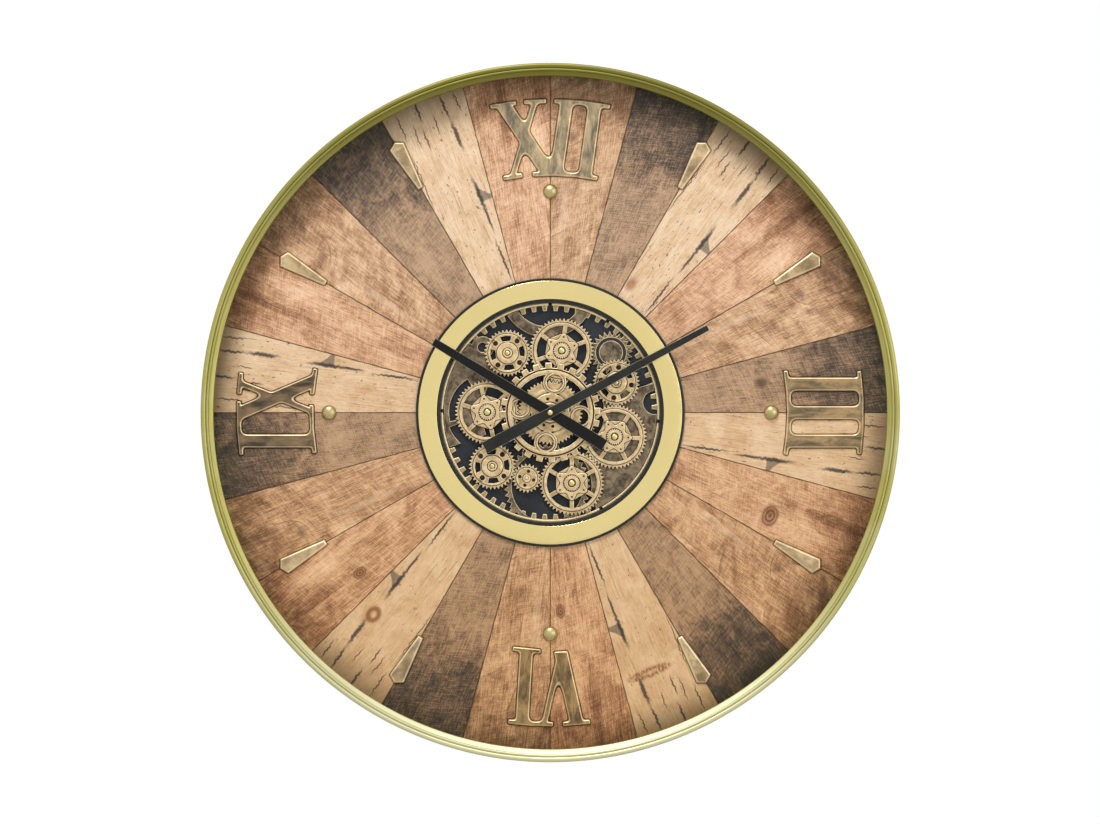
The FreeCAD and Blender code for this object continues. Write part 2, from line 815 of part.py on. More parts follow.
def right_plate():
    """A plate along the well's right side, cut out round the bottom gear and notched at its edge."""
    body = new_body("right_plate")
    sketch = face_sketch(body, DECOR_BACK, "right_plate_bearing")
    pad(body, sector(sketch, "right_plate_inner", "decor_edge", "right_plate_half"), "decor_sheet")
    pocket(body, circle(face_sketch(body), "crescent_tip + cut_over", "crescent_x", "crescent_z"))
    notch = polar("notch_ring", "notch_bearing")
    pocket(body, polygon(face_sketch(body), "notch_radius", ROUND_SIDES, *notch))
    pocket(body, polygon(face_sketch(body), "decor_hole", ROUND_SIDES, "star_gear_right_x", "star_gear_right_z"))


def v_gaps(body, x, z, tip, root, teeth, phase):
    """V-shaped gaps cut all round a disc, which leave pointed teeth; the first gap is at the phase."""
    reach = "(1 + cut_over / 4)"
    side = "(%s * %s * sin(180 / %s))" % (reach, tip, teeth)
    rise = "(%s + %s * (%s * cos(180 / %s) - %s))" % (root, reach, tip, teeth, root)
    sketch = face_sketch(body, turn=phase, x=x, z=z)
    return pocket(body, outline(sketch, [("0", root), ("-" + side, rise), (side, rise)]))


def crescent_ring():
    """A pierced ring in the lower part of the well with pointed teeth outwards, cut off by the well."""
    body = new_body("crescent_ring")
    sketch = circle(face_sketch(body, DECOR_BACK), "crescent_tip + cut_over / 4")
    pad(body, polygon(sketch, "crescent_inner", 2 * ROUND_SIDES), "decor_sheet")
    gaps = v_gaps(body, "0", "0", "crescent_tip", "crescent_root", "crescent_teeth", "crescent_phase")
    around(body, [gaps], "crescent_teeth")
    sketch = circle(face_sketch(body), "decor_edge", "-crescent_x", "-crescent_z")
    pocket(body, circle(sketch, "decor_edge + arm_z", "-crescent_x", "-crescent_z"))
    place(body, "crescent_x", "crescent_z")


def fixed_gear():
    """A blank fixed gear at the upper right, cut off by the well."""
    body = new_body("fixed_gear")
    sketch = circle(face_sketch(body, DECOR_BACK), "fixed_tip + cut_over / 4")
    pad(body, sketch, "decor_sheet")
    gaps = v_gaps(body, "0", "0", "fixed_tip", "fixed_root", "fixed_teeth", "fixed_phase")
    around(body, [gaps], "fixed_teeth")
    sketch = circle(face_sketch(body), "decor_edge", "-fixed_x", "-fixed_z")
    pocket(body, circle(sketch, "decor_edge + arm_z", "-fixed_x", "-fixed_z"))
    place(body, "fixed_x", "fixed_z")


# Gear train


def toothed(label, thickness, bore):
    """A toothed disc at its place in the train, turned so that its teeth mesh."""
    body = new_body(label)
    teeth = GEARS[label][0]
    pitch = "gear_module * %s / 2" % teeth
    tip = "(%s + addendum)" % pitch
    sketch = circle(face_sketch(body, "gear_depth"), tip + " + cut_over / 4")
    pad(body, circle(sketch, bore), thickness)
    around(body, [v_gaps(body, "0", "0", tip, "(%s - dedendum)" % pitch, teeth, "0")], teeth)
    place(body, label + "_x", label + "_z", label + "_phase")
    return body


def centre_wheel():
    """The fine-toothed wheel on the clock's own axis, a little thicker than the others."""
    toothed("centre_wheel", "gear_face + centre_rise", "bush_radius + running_gap")


def drive_pinion():
    """The small gear that drives the train, on the shaft of the gear drive."""
    toothed("drive_pinion", "gear_face", "drive_shaft_radius")


def star_gear(label, spokes):
    """A large gear with six spokes; the straight edges of its windows lie along the spokes."""
    body = toothed(label, "gear_face", ARBOR_BORE)
    half = "(180 / %s)" % SPOKES
    sketch = face_sketch(body, turn="%s + %s - %s_phase" % (spokes, half, label))
    edge = "asin(spoke_width / 2 / star_rim) / (1 deg)"
    bend = "((%s - %s) / 3)" % (half, edge)
    hub = "asin(spoke_width / 2 / star_hub) / (1 deg)"
    window = pocket(body, outline(sketch, [
        polar("star_rim", "-(%s - %s)" % (half, edge)),
        polar("star_rim", "-" + bend),
        polar("star_rim", bend),
        polar("star_rim", "%s - %s" % (half, edge)),
        polar("star_hub", "%s - %s" % (half, hub)),
        polar("star_hub", "-(%s - %s)" % (half, hub)),
    ]))
    around(body, [window], SPOKES)


def hole_gear(label, holes):
    """A smaller gear with four curved slots round its hub."""
    body = toothed(label, "gear_face", ARBOR_BORE)
    sketch = face_sketch(body, turn="%s + 45 - %s_phase" % (holes, label))
    slot = [
        polar("slot_outer", "-slot_half"),
        polar("slot_outer", "0"),
        polar("slot_outer", "slot_half"),
        polar("slot_inner", "slot_half"),
        polar("slot_inner", "-slot_half"),
    ]
    around(body, [pocket(body, outline(sketch, slot))], "4")


def ring_gear():
    """The coarse gear in front of the centre wheel, with four portholes between four fan windows."""
    body = new_body("ring_gear")
    sketch = face_sketch(body, GEAR_FRONT + " + centre_rise", "ring_gear_phase")
    corner = "ring_gear_tip / cos(180 / ring_gear_teeth)"
    teeth = round(number(sketch, "ring_gear_teeth"))
    outline(sketch, [polar(corner, "%d * 360 / ring_gear_teeth" % k) for k in range(teeth)])
    pad(body, circle(sketch, "bush_radius + running_gap"), "ring_gear_face")
    cut = outline(face_sketch(body, turn="ring_gear_phase"), [
        ("-ring_gap_tip / 2", "ring_gear_tip + cut_over"),
        ("ring_gap_tip / 2", "ring_gear_tip + cut_over"),
        ("ring_gap_root / 2", "ring_gear_root"),
        ("-ring_gap_root / 2", "ring_gear_root"),
    ])
    around(body, [pocket(body, cut)], "ring_gear_teeth")
    window = face_sketch(body, turn="porthole_phase")
    porthole = pocket(body, polygon(window, "porthole_radius", ROUND_SIDES, "0", "porthole_ring"))
    around(body, [porthole, pocket(body, fan(face_sketch(body, turn="porthole_phase + 45")))], "4")


def fan(sketch):
    """A window between two portholes, with their bands as its hollow sides, in straight stretches."""
    band = "(porthole_radius + porthole_band)"
    shape = "acos((porthole_ring^2 + %s^2 - %s^2) / (2 * porthole_ring * %s)) / (1 deg)"
    edges = ("ring_gear_window", "ring_gear_hub")
    outer, inner = ["(quarter_turn / 2 - %s)" % (shape % (edge, band, edge)) for edge in edges]
    first, last = ["(180 - %s)" % (shape % (band, edge, band)) for edge in edges]
    corners = []
    for k in range(FAN_STRETCHES + 1):
        corners.append(polar("ring_gear_window", "%s * %d / %d" % (outer, 2 * k - FAN_STRETCHES, FAN_STRETCHES)))
    side = []
    for k in range(1, FAN_STRETCHES):
        turn = "(%s + (%s - %s) * %d / %d)" % (first, last, first, k, FAN_STRETCHES)
        x, z = polar("porthole_ring", "quarter_turn / 2")
        across, up = polar(band, "quarter_turn / 2 - " + turn)
        side.append((x + " + " + across, z + " + " + up))
    corners += side
    for k in range(FAN_STRETCHES + 1):
        corners.append(polar("ring_gear_hub", "%s * %d / %d" % (inner, FAN_STRETCHES - 2 * k, FAN_STRETCHES)))
    corners += [("-(%s)" % x, z) for x, z in reversed(side)]
    return outline(sketch, corners)


def gear_arbors():
    """A hexagonal standoff on the mounting plate behind each free gear, with the pin it turns on."""
    body = new_body("gear_arbors")
    free = [label for label in GEARS if label not in ("centre_wheel", "drive_pinion")]
    sketch = face_sketch(body, "dial_depth")
    corner = "(standoff_flats / 2 / cos(30))"
    for label in free:
        corners = [polar(corner, "%d * 60" % k) for k in range(6)]
        outline(sketch, [("%s_x + %s" % (label, x), "%s_z + %s" % (label, z)) for x, z in corners])
    pad(body, sketch, "gear_depth - dial_depth - end_float")
    sketch = face_sketch(body, "dial_depth")
    for label in free:
        circle(sketch, "arbor_radius", label + "_x", label + "_z")
    pad(body, sketch, GEAR_FRONT + " - dial_depth + arbor_end")


# Hands, their tubes, and the bush they turn in


def hand(label, depth, name, bore):
    """A flat tapered hand with a wider tail behind its middle, pushed on its tube."""
    body = new_body(label)
    half = [
        (name + "_tip_half", name + "_length"),
        (name + "_root_half", "-tail_neck"),
        ("tail_half", "-tail_shoulder"),
        ("tail_half", "-%s_tail" % name),
    ]
    sketch = outline(face_sketch(body, depth), half + [("-" + x, y) for x, y in reversed(half)])
    pad(body, circle(sketch, bore), "hand_sheet")
    place(body, bearing=name + "_bearing")


def tube(label, start, end, outer, inner=None):
    """A round bar or a tube on the clock's axis between two depths."""
    body = new_body(label)
    sketch = circle(face_sketch(body, start), outer)
    if inner:
        circle(sketch, inner)
    pad(body, sketch, "%s - (%s)" % (end, start))


def hands():
    """Both hands on their own tubes, nested in a fixed bush, and the nut in front."""
    tube("centre_bush", WORKS_FRONT + " - bush_seat", "bush_front", "bush_radius", "hour_tube_radius + running_gap")
    hour_front = "hour_hand_depth + hand_sheet"
    tube("hour_tube", "works_bore_bottom + end_float", hour_front, "hour_tube_radius", TUBE_INNER)
    minute_front = "minute_hand_depth + hand_sheet"
    tube("minute_arbor", "works_bore_bottom + end_float", minute_front, "minute_arbor_radius")
    hand("hour_hand", "hour_hand_depth", "hour", "hour_tube_radius")
    hand("minute_hand", "minute_hand_depth", "minute", "minute_arbor_radius")
    plate("cap_nut", minute_front, "cap_height", "cap_radius")


# Clock movement and gear drive behind the mounting plate


BAY_LENGTH = "(cell_length + 2 * contact_sheet)"
WORKS_CELL_Z = "(-works_bottom + works_wall + bay_height / 2)"
DRIVE_CELL_X = ["((drive_bay_left + drive_bay_right %s drive_cell_gap) / 2)" % side for side in ("-", "+")]
DRIVE_CELL_Z = "(-drive_bottom + works_wall + %s / 2)" % BAY_LENGTH


def works_case():
    """The clock movement's case: a bay for one cell, open behind, and bores for the hands and the knob."""
    body = new_body("works_case")
    box = rectangle(face_sketch(body, "works_depth"), "-works_half", "-works_bottom", "works_half", "works_top")
    pad(body, box, "%s - works_depth" % WORKS_FRONT)
    pocket(body, circle(face_sketch(body, WORKS_FRONT), "bush_radius"), "bush_seat")
    pocket(body, circle(face_sketch(body, WORKS_FRONT), "works_bore"), WORKS_FRONT + " - works_bore_bottom")
    stem = circle(face_sketch(body, "works_depth", z="knob_offset"), "knob_stem + running_gap")
    pocket(body, stem, "knob_stem_length", from_wall=True)
    bottom = "-works_bottom + works_wall"
    half = BAY_LENGTH + " / 2"
    bay = rectangle(face_sketch(body, "works_depth"), "-" + half, bottom, half, bottom + " + bay_height")
    pocket(body, bay, "bay_depth", from_wall=True)


def setting_knob():
    """The wheel at the back of the movement that sets the hands, with twelve flats to grip."""
    body = new_body("setting_knob")
    back = "works_depth - knob_height - end_float"
    sketch = outline(face_sketch(body, back), [polar("knob_radius", "%d * hour_turn" % k) for k in range(12)])
    pad(body, sketch, "knob_height")
    pad(body, circle(face_sketch(body, back), "knob_stem"), "knob_height + knob_stem_length")
    place(body, z="knob_offset")


def drive_case():
    """The gear drive's case: a geared motor beside a bay for two cells, open behind."""
    body = new_body("drive_case")
    pad(body, rectangle(
        face_sketch(body, "works_depth"),
        "-drive_left",
        "-drive_bottom",
        "drive_right",
        "-drive_top",
    ), "%s - works_depth" % WORKS_FRONT)
    shaft = circle(face_sketch(body, WORKS_FRONT), "drive_bore", "drive_pinion_x", "drive_pinion_z")
    pocket(body, shaft, WORKS_FRONT + " - works_bore_bottom")
    bottom = "-drive_bottom + works_wall"
    pocket(body, rectangle(
        face_sketch(body, "works_depth"),
        "drive_bay_left",
        bottom,
        "drive_bay_right",
        bottom + " + " + BAY_LENGTH,
    ), "bay_depth", from_wall=True)


def drive_shaft():
    """The shaft that carries the drive pinion, through the mounting plate."""
    body = new_body("drive_shaft")
    start = "works_bore_bottom + end_float"
    pad(body, circle(face_sketch(body, start), "drive_shaft_radius"), "%s + arbor_end - (%s)" % (GEAR_FRONT, start))
    place(body, "drive_pinion_x", "drive_pinion_z")


def flat_sketch(body, role, offset="0"):
    """A sketch on one of the body's planes, moved along the plane's normal."""
    sketch = body.newObject("Sketcher::SketchObject", body.Name + "_flat")
    sketch.AttachmentSupport = (plane(body, role), [""])
    sketch.MapMode = "FlatFace"
    sketch.setExpression(".AttachmentOffset.Base.z", bound(offset))
    return sketch


def cells():
    """Three cells: one across the movement's bay, and two upright in the drive's."""
    body = new_body("cells")
    middle = "-works_depth - cell_sink"
    across = circle(flat_sketch(body, "YZ_Plane"), "cell_radius", middle, WORKS_CELL_Z)
    pad(body, across, "cell_length", centred=True)
    upright = flat_sketch(body, "XY_Plane", DRIVE_CELL_Z)
    for x in DRIVE_CELL_X:
        circle(upright, "cell_radius", x, middle)
    pad(body, upright, "cell_length", centred=True)


def cell_contacts():
    """A sprung contact at both ends of each cell."""
    body = new_body("cell_contacts")
    half = "contact_width / 2"
    thin = "contact_sheet / 2"
    sketch = face_sketch(body, "works_depth + cell_sink - " + half)
    for side in ("-", "+"):
        reach = side + " (cell_length + contact_sheet) / 2"
        block(sketch, "0 " + reach, WORKS_CELL_Z, thin, half)
        for x in DRIVE_CELL_X:
            block(sketch, x, "%s %s" % (DRIVE_CELL_Z, reach), half, thin)
    pad(body, sketch, "contact_width")


case_rim()
front_glass()
dial_board()
planks("planks_tan", 0, 4)
planks("planks_dark", 1, 4)
planks("planks_pale", 2, 4)
planks("planks_orange", 3, 4)
case_brackets()
hanger_bracket()
numerals()
hour_batons()
mounting_plate()
bezel_ring()
tooth_ring()
top_arm()
left_plate()
right_plate()
crescent_ring()
fixed_gear()
centre_wheel()
ring_gear()
star_gear("star_gear_top", "top_spokes")
star_gear("star_gear_left", "left_spokes")
star_gear("star_gear_right", "right_spokes")
star_gear("star_gear_bottom", "bottom_spokes")
hole_gear("hole_gear_upper", "upper_holes")
hole_gear("hole_gear_lower", "lower_holes")
hole_gear("hole_gear_side", "side_holes")
drive_pinion()
gear_arbors()
hands()
works_case()
setting_knob()
drive_case()
drive_shaft()
cells()
cell_contacts()
doc.recompute()


def finish():
    """Check every object and write each sub-part to its own file."""
    for item in doc.Objects:
        if "Invalid" in item.State or "Error" in item.State:
            raise RuntimeError("%s is not sound: %s" % (item.Label, item.State))
    os.makedirs("parts", exist_ok=True)
    for body in doc.findObjects("PartDesign::Body"):
        shape = body.Shape
        if shape.isNull() or not shape.isValid() or not shape.Solids:
            raise RuntimeError("%s has no sound shape" % body.Label)
        shape.exportStep("parts/%s.step" % body.Label)


finish()
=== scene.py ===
import json
import math
from functools import partialmethod, reduce

import bpy
import numpy as np
from mathutils.geometry import tessellate_polygon
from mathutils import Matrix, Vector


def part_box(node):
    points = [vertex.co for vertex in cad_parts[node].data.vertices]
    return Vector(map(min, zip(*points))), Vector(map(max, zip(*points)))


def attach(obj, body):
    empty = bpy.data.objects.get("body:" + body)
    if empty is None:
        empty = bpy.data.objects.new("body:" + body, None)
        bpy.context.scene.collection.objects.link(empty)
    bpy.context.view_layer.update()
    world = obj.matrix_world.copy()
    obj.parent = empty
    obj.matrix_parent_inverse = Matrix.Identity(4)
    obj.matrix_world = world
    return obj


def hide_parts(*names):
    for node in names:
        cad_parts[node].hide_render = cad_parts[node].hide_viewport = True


# The dressed clock. Lengths are millimetres as (right, up, depth), with depth measured from
# the wall towards the room, and bearings are degrees clockwise from twelve o'clock.

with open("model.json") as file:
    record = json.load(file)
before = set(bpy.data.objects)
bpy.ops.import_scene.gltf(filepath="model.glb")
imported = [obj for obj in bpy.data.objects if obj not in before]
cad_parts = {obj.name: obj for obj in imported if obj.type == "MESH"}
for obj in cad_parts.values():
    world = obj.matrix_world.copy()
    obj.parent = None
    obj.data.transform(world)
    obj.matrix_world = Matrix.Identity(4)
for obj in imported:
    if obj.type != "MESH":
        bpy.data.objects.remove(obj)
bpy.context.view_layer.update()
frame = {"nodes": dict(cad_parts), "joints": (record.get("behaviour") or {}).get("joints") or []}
NODES = frame["nodes"]
MM = 0.001
# A corner that turns by more than SHARP is eased, and shading breaks at an angle over CREASE
SHARP, CREASE = math.radians(25), math.radians(40)
# Points nearer than NEAR are one point, and a cap starts LEDGE inside its shoulder
NEAR, LEDGE = 0.02, 0.12


# Surfaces


def in_frame(points):
    """(right, up, depth) in millimetres as metres of the frame: x right, y into the wall, z up."""
    return np.stack((points[:, 0], -points[:, 2], points[:, 1]), -1) * MM


def volume(points, faces):
    """The signed volume of a closed shell: the sum over its faces of a . (b x c) / 6."""
    total = 0.0
    for group, _ in faces:
        a = points[group[:, 0]]
        for k in range(1, group.shape[1] - 1):
            b, c = points[group[:, k]], points[group[:, k + 1]]
            total += np.einsum("ij,ij->", a, np.cross(b, c)) / 6
    return total


def shell(points, faces, edge=None):
    """A closed shell with its faces turned outwards. faces: (corner indices, curved or flat)."""
    points = np.asarray(points, float)
    if volume(points, faces) < 0:
        faces = [(group[:, ::-1], curved) for group, curved in faces]
    edge = np.zeros(len(points)) if edge is None else edge
    return {"points": points, "faces": faces, "edge": edge}


def woven(rows, columns, wrap_rows=False):
    """The faces of a grid of points whose columns close on themselves."""
    first = np.arange(rows if wrap_rows else rows - 1)
    a, b = np.meshgrid(first, np.arange(columns), indexing="ij")
    c = (a + 1) % rows
    d = (b + 1) % columns
    quads = (a * columns + b, a * columns + d, c * columns + d, c * columns + b)
    return np.stack(quads, -1).reshape(-1, 4)


def turned(profile, sides=96, centre=(0, 0), edge=None):
    """A turned shell, whose points are centre + radius (sin t, cos t) at the profile's depth.

    The profile is (radius, depth) pairs. It closes on itself unless it starts and ends on the axis.
    """
    profile = np.asarray(profile, float)
    solid = profile[0, 0] == 0
    rows = profile[1:-1] if solid else profile
    t = np.linspace(0, 2 * np.pi, sides, endpoint=False)
    grid = np.empty((len(rows), sides, 3))
    grid[..., 0] = centre[0] + rows[:, :1] * np.sin(t)
    grid[..., 1] = centre[1] + rows[:, :1] * np.cos(t)
    grid[..., 2] = rows[:, 1:]
    points = grid.reshape(-1, 3)
    faces = [(woven(len(rows), sides, not solid), True)]
    if solid:
        poles = [(*centre, profile[0, 1]), (*centre, profile[-1, 1])]
        around = np.arange(sides)
        after = (around + 1) % sides
        last = (len(rows) - 1) * sides
        low = np.stack((np.full(sides, len(points)), after, around), -1)
        high = np.stack((np.full(sides, len(points) + 1), last + around, last + after), -1)
        points = np.concatenate((points, poles))
        faces += [(low, True), (high, True)]
    values = None
    if edge is not None:
        edge = np.asarray(edge, float)
        values = np.repeat(edge[1:-1] if solid else edge, sides)
        values = np.append(values, (edge[0], edge[-1])) if solid else values
    return shell(points, faces, values)


def rounded_profile(inner, outer, back, front, rounding, steps=4):
    """A flat ring's section with quarter-round front corners, as (radius, depth) pairs."""
    a = np.linspace(0, np.pi / 2, steps)
    rise = front - rounding + rounding * np.sin(a)
    out = np.stack((outer - rounding + rounding * np.cos(a), rise), -1)
    into = np.stack((inner + rounding - rounding * np.cos(a), rise), -1)[::-1]
    return np.concatenate(([(inner, back), (outer, back)], out, into))


def dome(radius, back, height, rim=0.0, steps=9):
    """Half an ellipse over a short upright rim, as (radius, depth) pairs from axis to axis."""
    a = np.linspace(0, np.pi / 2, steps)
    cap = np.stack((radius * np.cos(a), back + rim + height * np.sin(a)), -1)
    cap[-1, 0] = 0
    return np.concatenate(([(0, back), (radius, back)], cap))


# Where an outline doubles back, SPIKE keeps the bisector short. LEAST is the smallest corner
# radius, and a corner takes up to the share ROOM of each of its sides.
SPIKE, LEAST, ROOM = 0.12, 0.02, 0.48


def ring_corners(loop, inset, round_out, round_in, steps=4):
    """The loop moved inwards by the inset, with its sharp corners eased.

    Each corner moves along the bisector of its two sides. A sharp one then becomes the curve
    (1-s)^2 A + 2 s (1-s) Q + s^2 B between points on its two sides.
    """
    before = loop - np.roll(loop, 1, 0)
    after = np.roll(before, -1, 0)
    u0 = before / np.linalg.norm(before, axis=1, keepdims=True)
    u1 = after / np.linalg.norm(after, axis=1, keepdims=True)
    turn = np.arctan2(u0[:, 0] * u1[:, 1] - u0[:, 1] * u1[:, 0], np.sum(u0 * u1, 1))
    n0 = np.stack((-u0[:, 1], u0[:, 0]), -1)
    n1 = np.stack((-u1[:, 1], u1[:, 0]), -1)
    bisector = (n0 + n1) / np.maximum(1 + np.sum(n0 * n1, 1), SPIKE)[:, None]
    moved = loop + bisector * inset
    sharp = np.abs(turn) > SHARP
    radius = np.where(turn > 0, np.maximum(round_out - inset, LEAST), round_in + inset)
    side = np.linalg.norm(moved - np.roll(moved, 1, 0), axis=1)
    room = ROOM * np.minimum(side, np.roll(side, -1))
    reach = np.where(sharp, np.minimum(radius * np.tan(np.abs(turn) / 2), room), 0)[:, None]
    start = moved - u0 * reach
    end = moved + u1 * reach
    count = np.where(sharp, steps, 1)
    index = np.repeat(np.arange(len(loop)), count)
    place = np.arange(len(index)) - np.repeat(np.cumsum(count) - count, count)
    s = np.where(sharp[index], place / (steps - 1), 0.5)[:, None]
    return (1 - s) ** 2 * start[index] + 2 * s * (1 - s) * moved[index] + s ** 2 * end[index]


def area(loop):
    """The signed area of a loop, positive where it runs anticlockwise."""
    x, y = loop[:, 0], loop[:, 1]
    return 0.5 * np.sum(x * np.roll(y, -1) - y * np.roll(x, -1))


def within(point, loop):
    """Whether a point is inside the loop: a ray from it crosses the loop an odd number of times."""
    a, b = loop, np.roll(loop, -1, 0)
    crosses = (a[:, 1] > point[1]) != (b[:, 1] > point[1])
    with np.errstate(divide="ignore", invalid="ignore"):
        x = a[:, 0] + (point[1] - a[:, 1]) * (b[:, 0] - a[:, 0]) / (b[:, 1] - a[:, 1])
    return np.count_nonzero(crosses & (x > point[0])) % 2 == 1


def filled(loops):
    """Triangles that fill one outline and its holes, all anticlockwise."""
    flat = np.concatenate(loops)
    found = tessellate_polygon([[(x, y, 0) for x, y in loop] for loop in loops])
    faces = np.array(found, int).reshape(-1, 3)
    a, b, c = flat[faces[:, 0]], flat[faces[:, 1]], flat[faces[:, 2]]
    size = (b[:, 0] - a[:, 0]) * (c[:, 1] - a[:, 1]) - (b[:, 1] - a[:, 1]) * (c[:, 0] - a[:, 0])
    faces[size < 0] = faces[size < 0][:, ::-1]
    missing = sum(map(area, loops)) - np.abs(size).sum() / 2
    if abs(missing) > 0.02 * abs(area(loops[0])):
        print("a cap is short by", round(missing, 2))
    return faces


def stamped(loops, back, front, shoulder, drop,
            round_out=0.0, round_in=0.0, steps=4, arc=4, flare=0.0):
    """A flat piece with a rounded shoulder: one profile carried along each outline.

    The profile goes up the wall from its flared foot, then over a quarter ellipse shoulder wide
    and drop deep: inset = shoulder (1 - cos a), depth = front - drop (1 - sin a). Caps fill both
    ends. The edge mark is -1 on a flared foot, 0.6 at the wall's top, 1 to 0.35 over the shoulder
    and 0 on the front.
    """
    a = np.linspace(0, np.pi / 2, arc)
    insets = np.concatenate(([-flare, 0], shoulder * (1 - np.cos(a[1:])), [shoulder + LEDGE]))
    depths = np.concatenate(([back, front - drop], front - drop * (1 - np.sin(a[1:])), [front]))
    # The edge mark tells the finishes where to paint a highlight on the shoulder and shade at a
    # flared foot
    marks = np.concatenate(([-1 if flare else 0, 0.6], np.linspace(1, 0.35, arc - 1), [0]))
    outer = [loop for loop in loops if area(loop) > 0]
    holes = [loop for loop in loops if area(loop) < 0]
    shells = []
    for edge_loop in outer:
        family = [edge_loop] + [hole for hole in holes if within(hole[0], edge_loop)]
        points, faces, edge, fronts, backs, base = [], [], [], [], [], 0
        for loop in family:
            rings = [ring_corners(loop, inset, round_out, round_in, steps) for inset in insets]
            n = len(rings[0])
            for ring, depth in zip(rings, depths):
                points.append(np.column_stack((ring, np.full(n, depth))))
            edge.append(np.repeat(marks, n))
            quads = woven(len(rings), n) + base
            faces.append((quads[:-n], True))
            faces.append((quads[-n:], False))
            backs.append((rings[0], base))
            fronts.append((rings[-1], base + (len(rings) - 1) * n))
            base += n * len(rings)
        for caps, flip in ((fronts, False), (backs, True)):
            where = np.concatenate([first + np.arange(len(ring)) for ring, first in caps])
            triangles = where[filled([ring for ring, _ in caps])]
            faces.append((triangles[:, ::-1] if flip else triangles, False))
        shells.append(shell(np.concatenate(points), faces, np.concatenate(edge)))
    return shells


def outlines(node):
    """The outlines of a flat node's front: anticlockwise round metal, clockwise round holes."""
    mesh = NODES[node].data
    co = np.empty(len(mesh.vertices) * 3)
    mesh.vertices.foreach_get("co", co)
    co = co.reshape(-1, 3) / MM
    corner = np.empty(len(mesh.polygons) * 3, int)
    mesh.polygons.foreach_get("vertices", corner)
    _, first, same = np.unique(np.round(co, 3), axis=0, return_index=True, return_inverse=True)
    co = co[first]
    triangles = same.ravel()[corner].reshape(-1, 3)
    front = np.all(-co[triangles, 1] > (-co[:, 1]).max() - NEAR, axis=1)
    sides = np.concatenate([triangles[front][:, (k, (k + 1) % 3)] for k in range(3)])
    known = set(map(tuple, sides.tolist()))
    follow = {a: b for a, b in known if (b, a) not in known}
    loops = []
    while follow:
        start, here = follow.popitem()
        chain = [start]
        while here != start:
            chain.append(here)
            here = follow.pop(here)
        loop = co[chain][:, (0, 2)]
        keep = np.linalg.norm(loop - np.roll(loop, 1, 0), axis=1) > NEAR
        loops.append(loop[keep])
    return loops


def depth_of(node):
    """The node's back and front, measured from the wall."""
    low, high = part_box(node)
    return -high[1] / MM, -low[1] / MM


def cleared(loop, reach):
    """The loop without the slight bends that lie too near a sharp corner for it to be rounded."""
    u0 = loop - np.roll(loop, 1, 0)
    u1 = np.roll(u0, -1, 0)
    turn = np.abs(np.arctan2(u0[:, 0] * u1[:, 1] - u0[:, 1] * u1[:, 0], np.sum(u0 * u1, 1)))
    sharp = turn > SHARP
    near = (np.roll(sharp, 1) & (np.linalg.norm(u0, axis=1) < reach)) | (
        np.roll(sharp, -1) & (np.linalg.norm(u1, axis=1) < reach))
    return loop[sharp | ~near]


def dressed(node, shoulder, drop, round_out, round_in, clear=0, **more):
    """The node's own outline with its edges and corners eased."""
    back, front = depth_of(node)
    loops = [cleared(loop, clear) for loop in outlines(node)]
    return stamped(loops, back, front, shoulder, drop, round_out, round_in, **more)


def circle(radius, centre=(0, 0), sides=48, hole=False):
    """A circle as an outline."""
    t = np.linspace(0, 2 * np.pi, sides, endpoint=False) * (-1 if hole else 1)
    return np.stack((centre[0] + radius * np.cos(t), centre[1] + radius * np.sin(t)), -1)


def spot(radius, bearing, centre=(0, 0)):
    """The point at a radius and a bearing from a centre."""
    t = math.radians(bearing)
    return centre[0] + radius * math.sin(t), centre[1] + radius * math.cos(t)


def polar(radius, bearing, centre):
    """The outline through points at clockwise bearings, turned to run anticlockwise."""
    x = centre[0] + radius * np.sin(bearing)
    y = centre[1] + radius * np.cos(bearing)
    return np.stack((x, y), -1)[::-1]


def toothed(tip, root, teeth, phase, centre=(0, 0), land=0.18, foot=0.44):
    """A gear's outline. Each tooth is a trapezoid from the root circle to the tip circle.

    land and foot are a tooth's half widths at its tip and at its root, as shares of the pitch.
    """
    k = np.arange(teeth)[:, None]
    share = np.array([-foot, -land, land, foot])
    bearing = np.radians(phase + (k + share) * 360 / teeth).ravel()
    return polar(np.tile((root, tip, tip, root), teeth), bearing, centre)


def star(tip, waist, points, phase, centre=(0, 0), steps=7, power=2.6):
    """A plate with round points and hollow sides.

    r = waist + (tip - waist) |cos(points t / 2)|^power at angle t.
    """
    t = np.linspace(0, 2 * np.pi, points * steps * 2, endpoint=False)
    radius = waist + (tip - waist) * np.abs(np.cos(points * t / 2)) ** power
    return polar(radius, t + math.radians(phase), centre)


def placed(name, data):
    """A new object in the scene."""
    made = bpy.data.objects.new(name, data)
    bpy.context.scene.collection.objects.link(made)
    return made


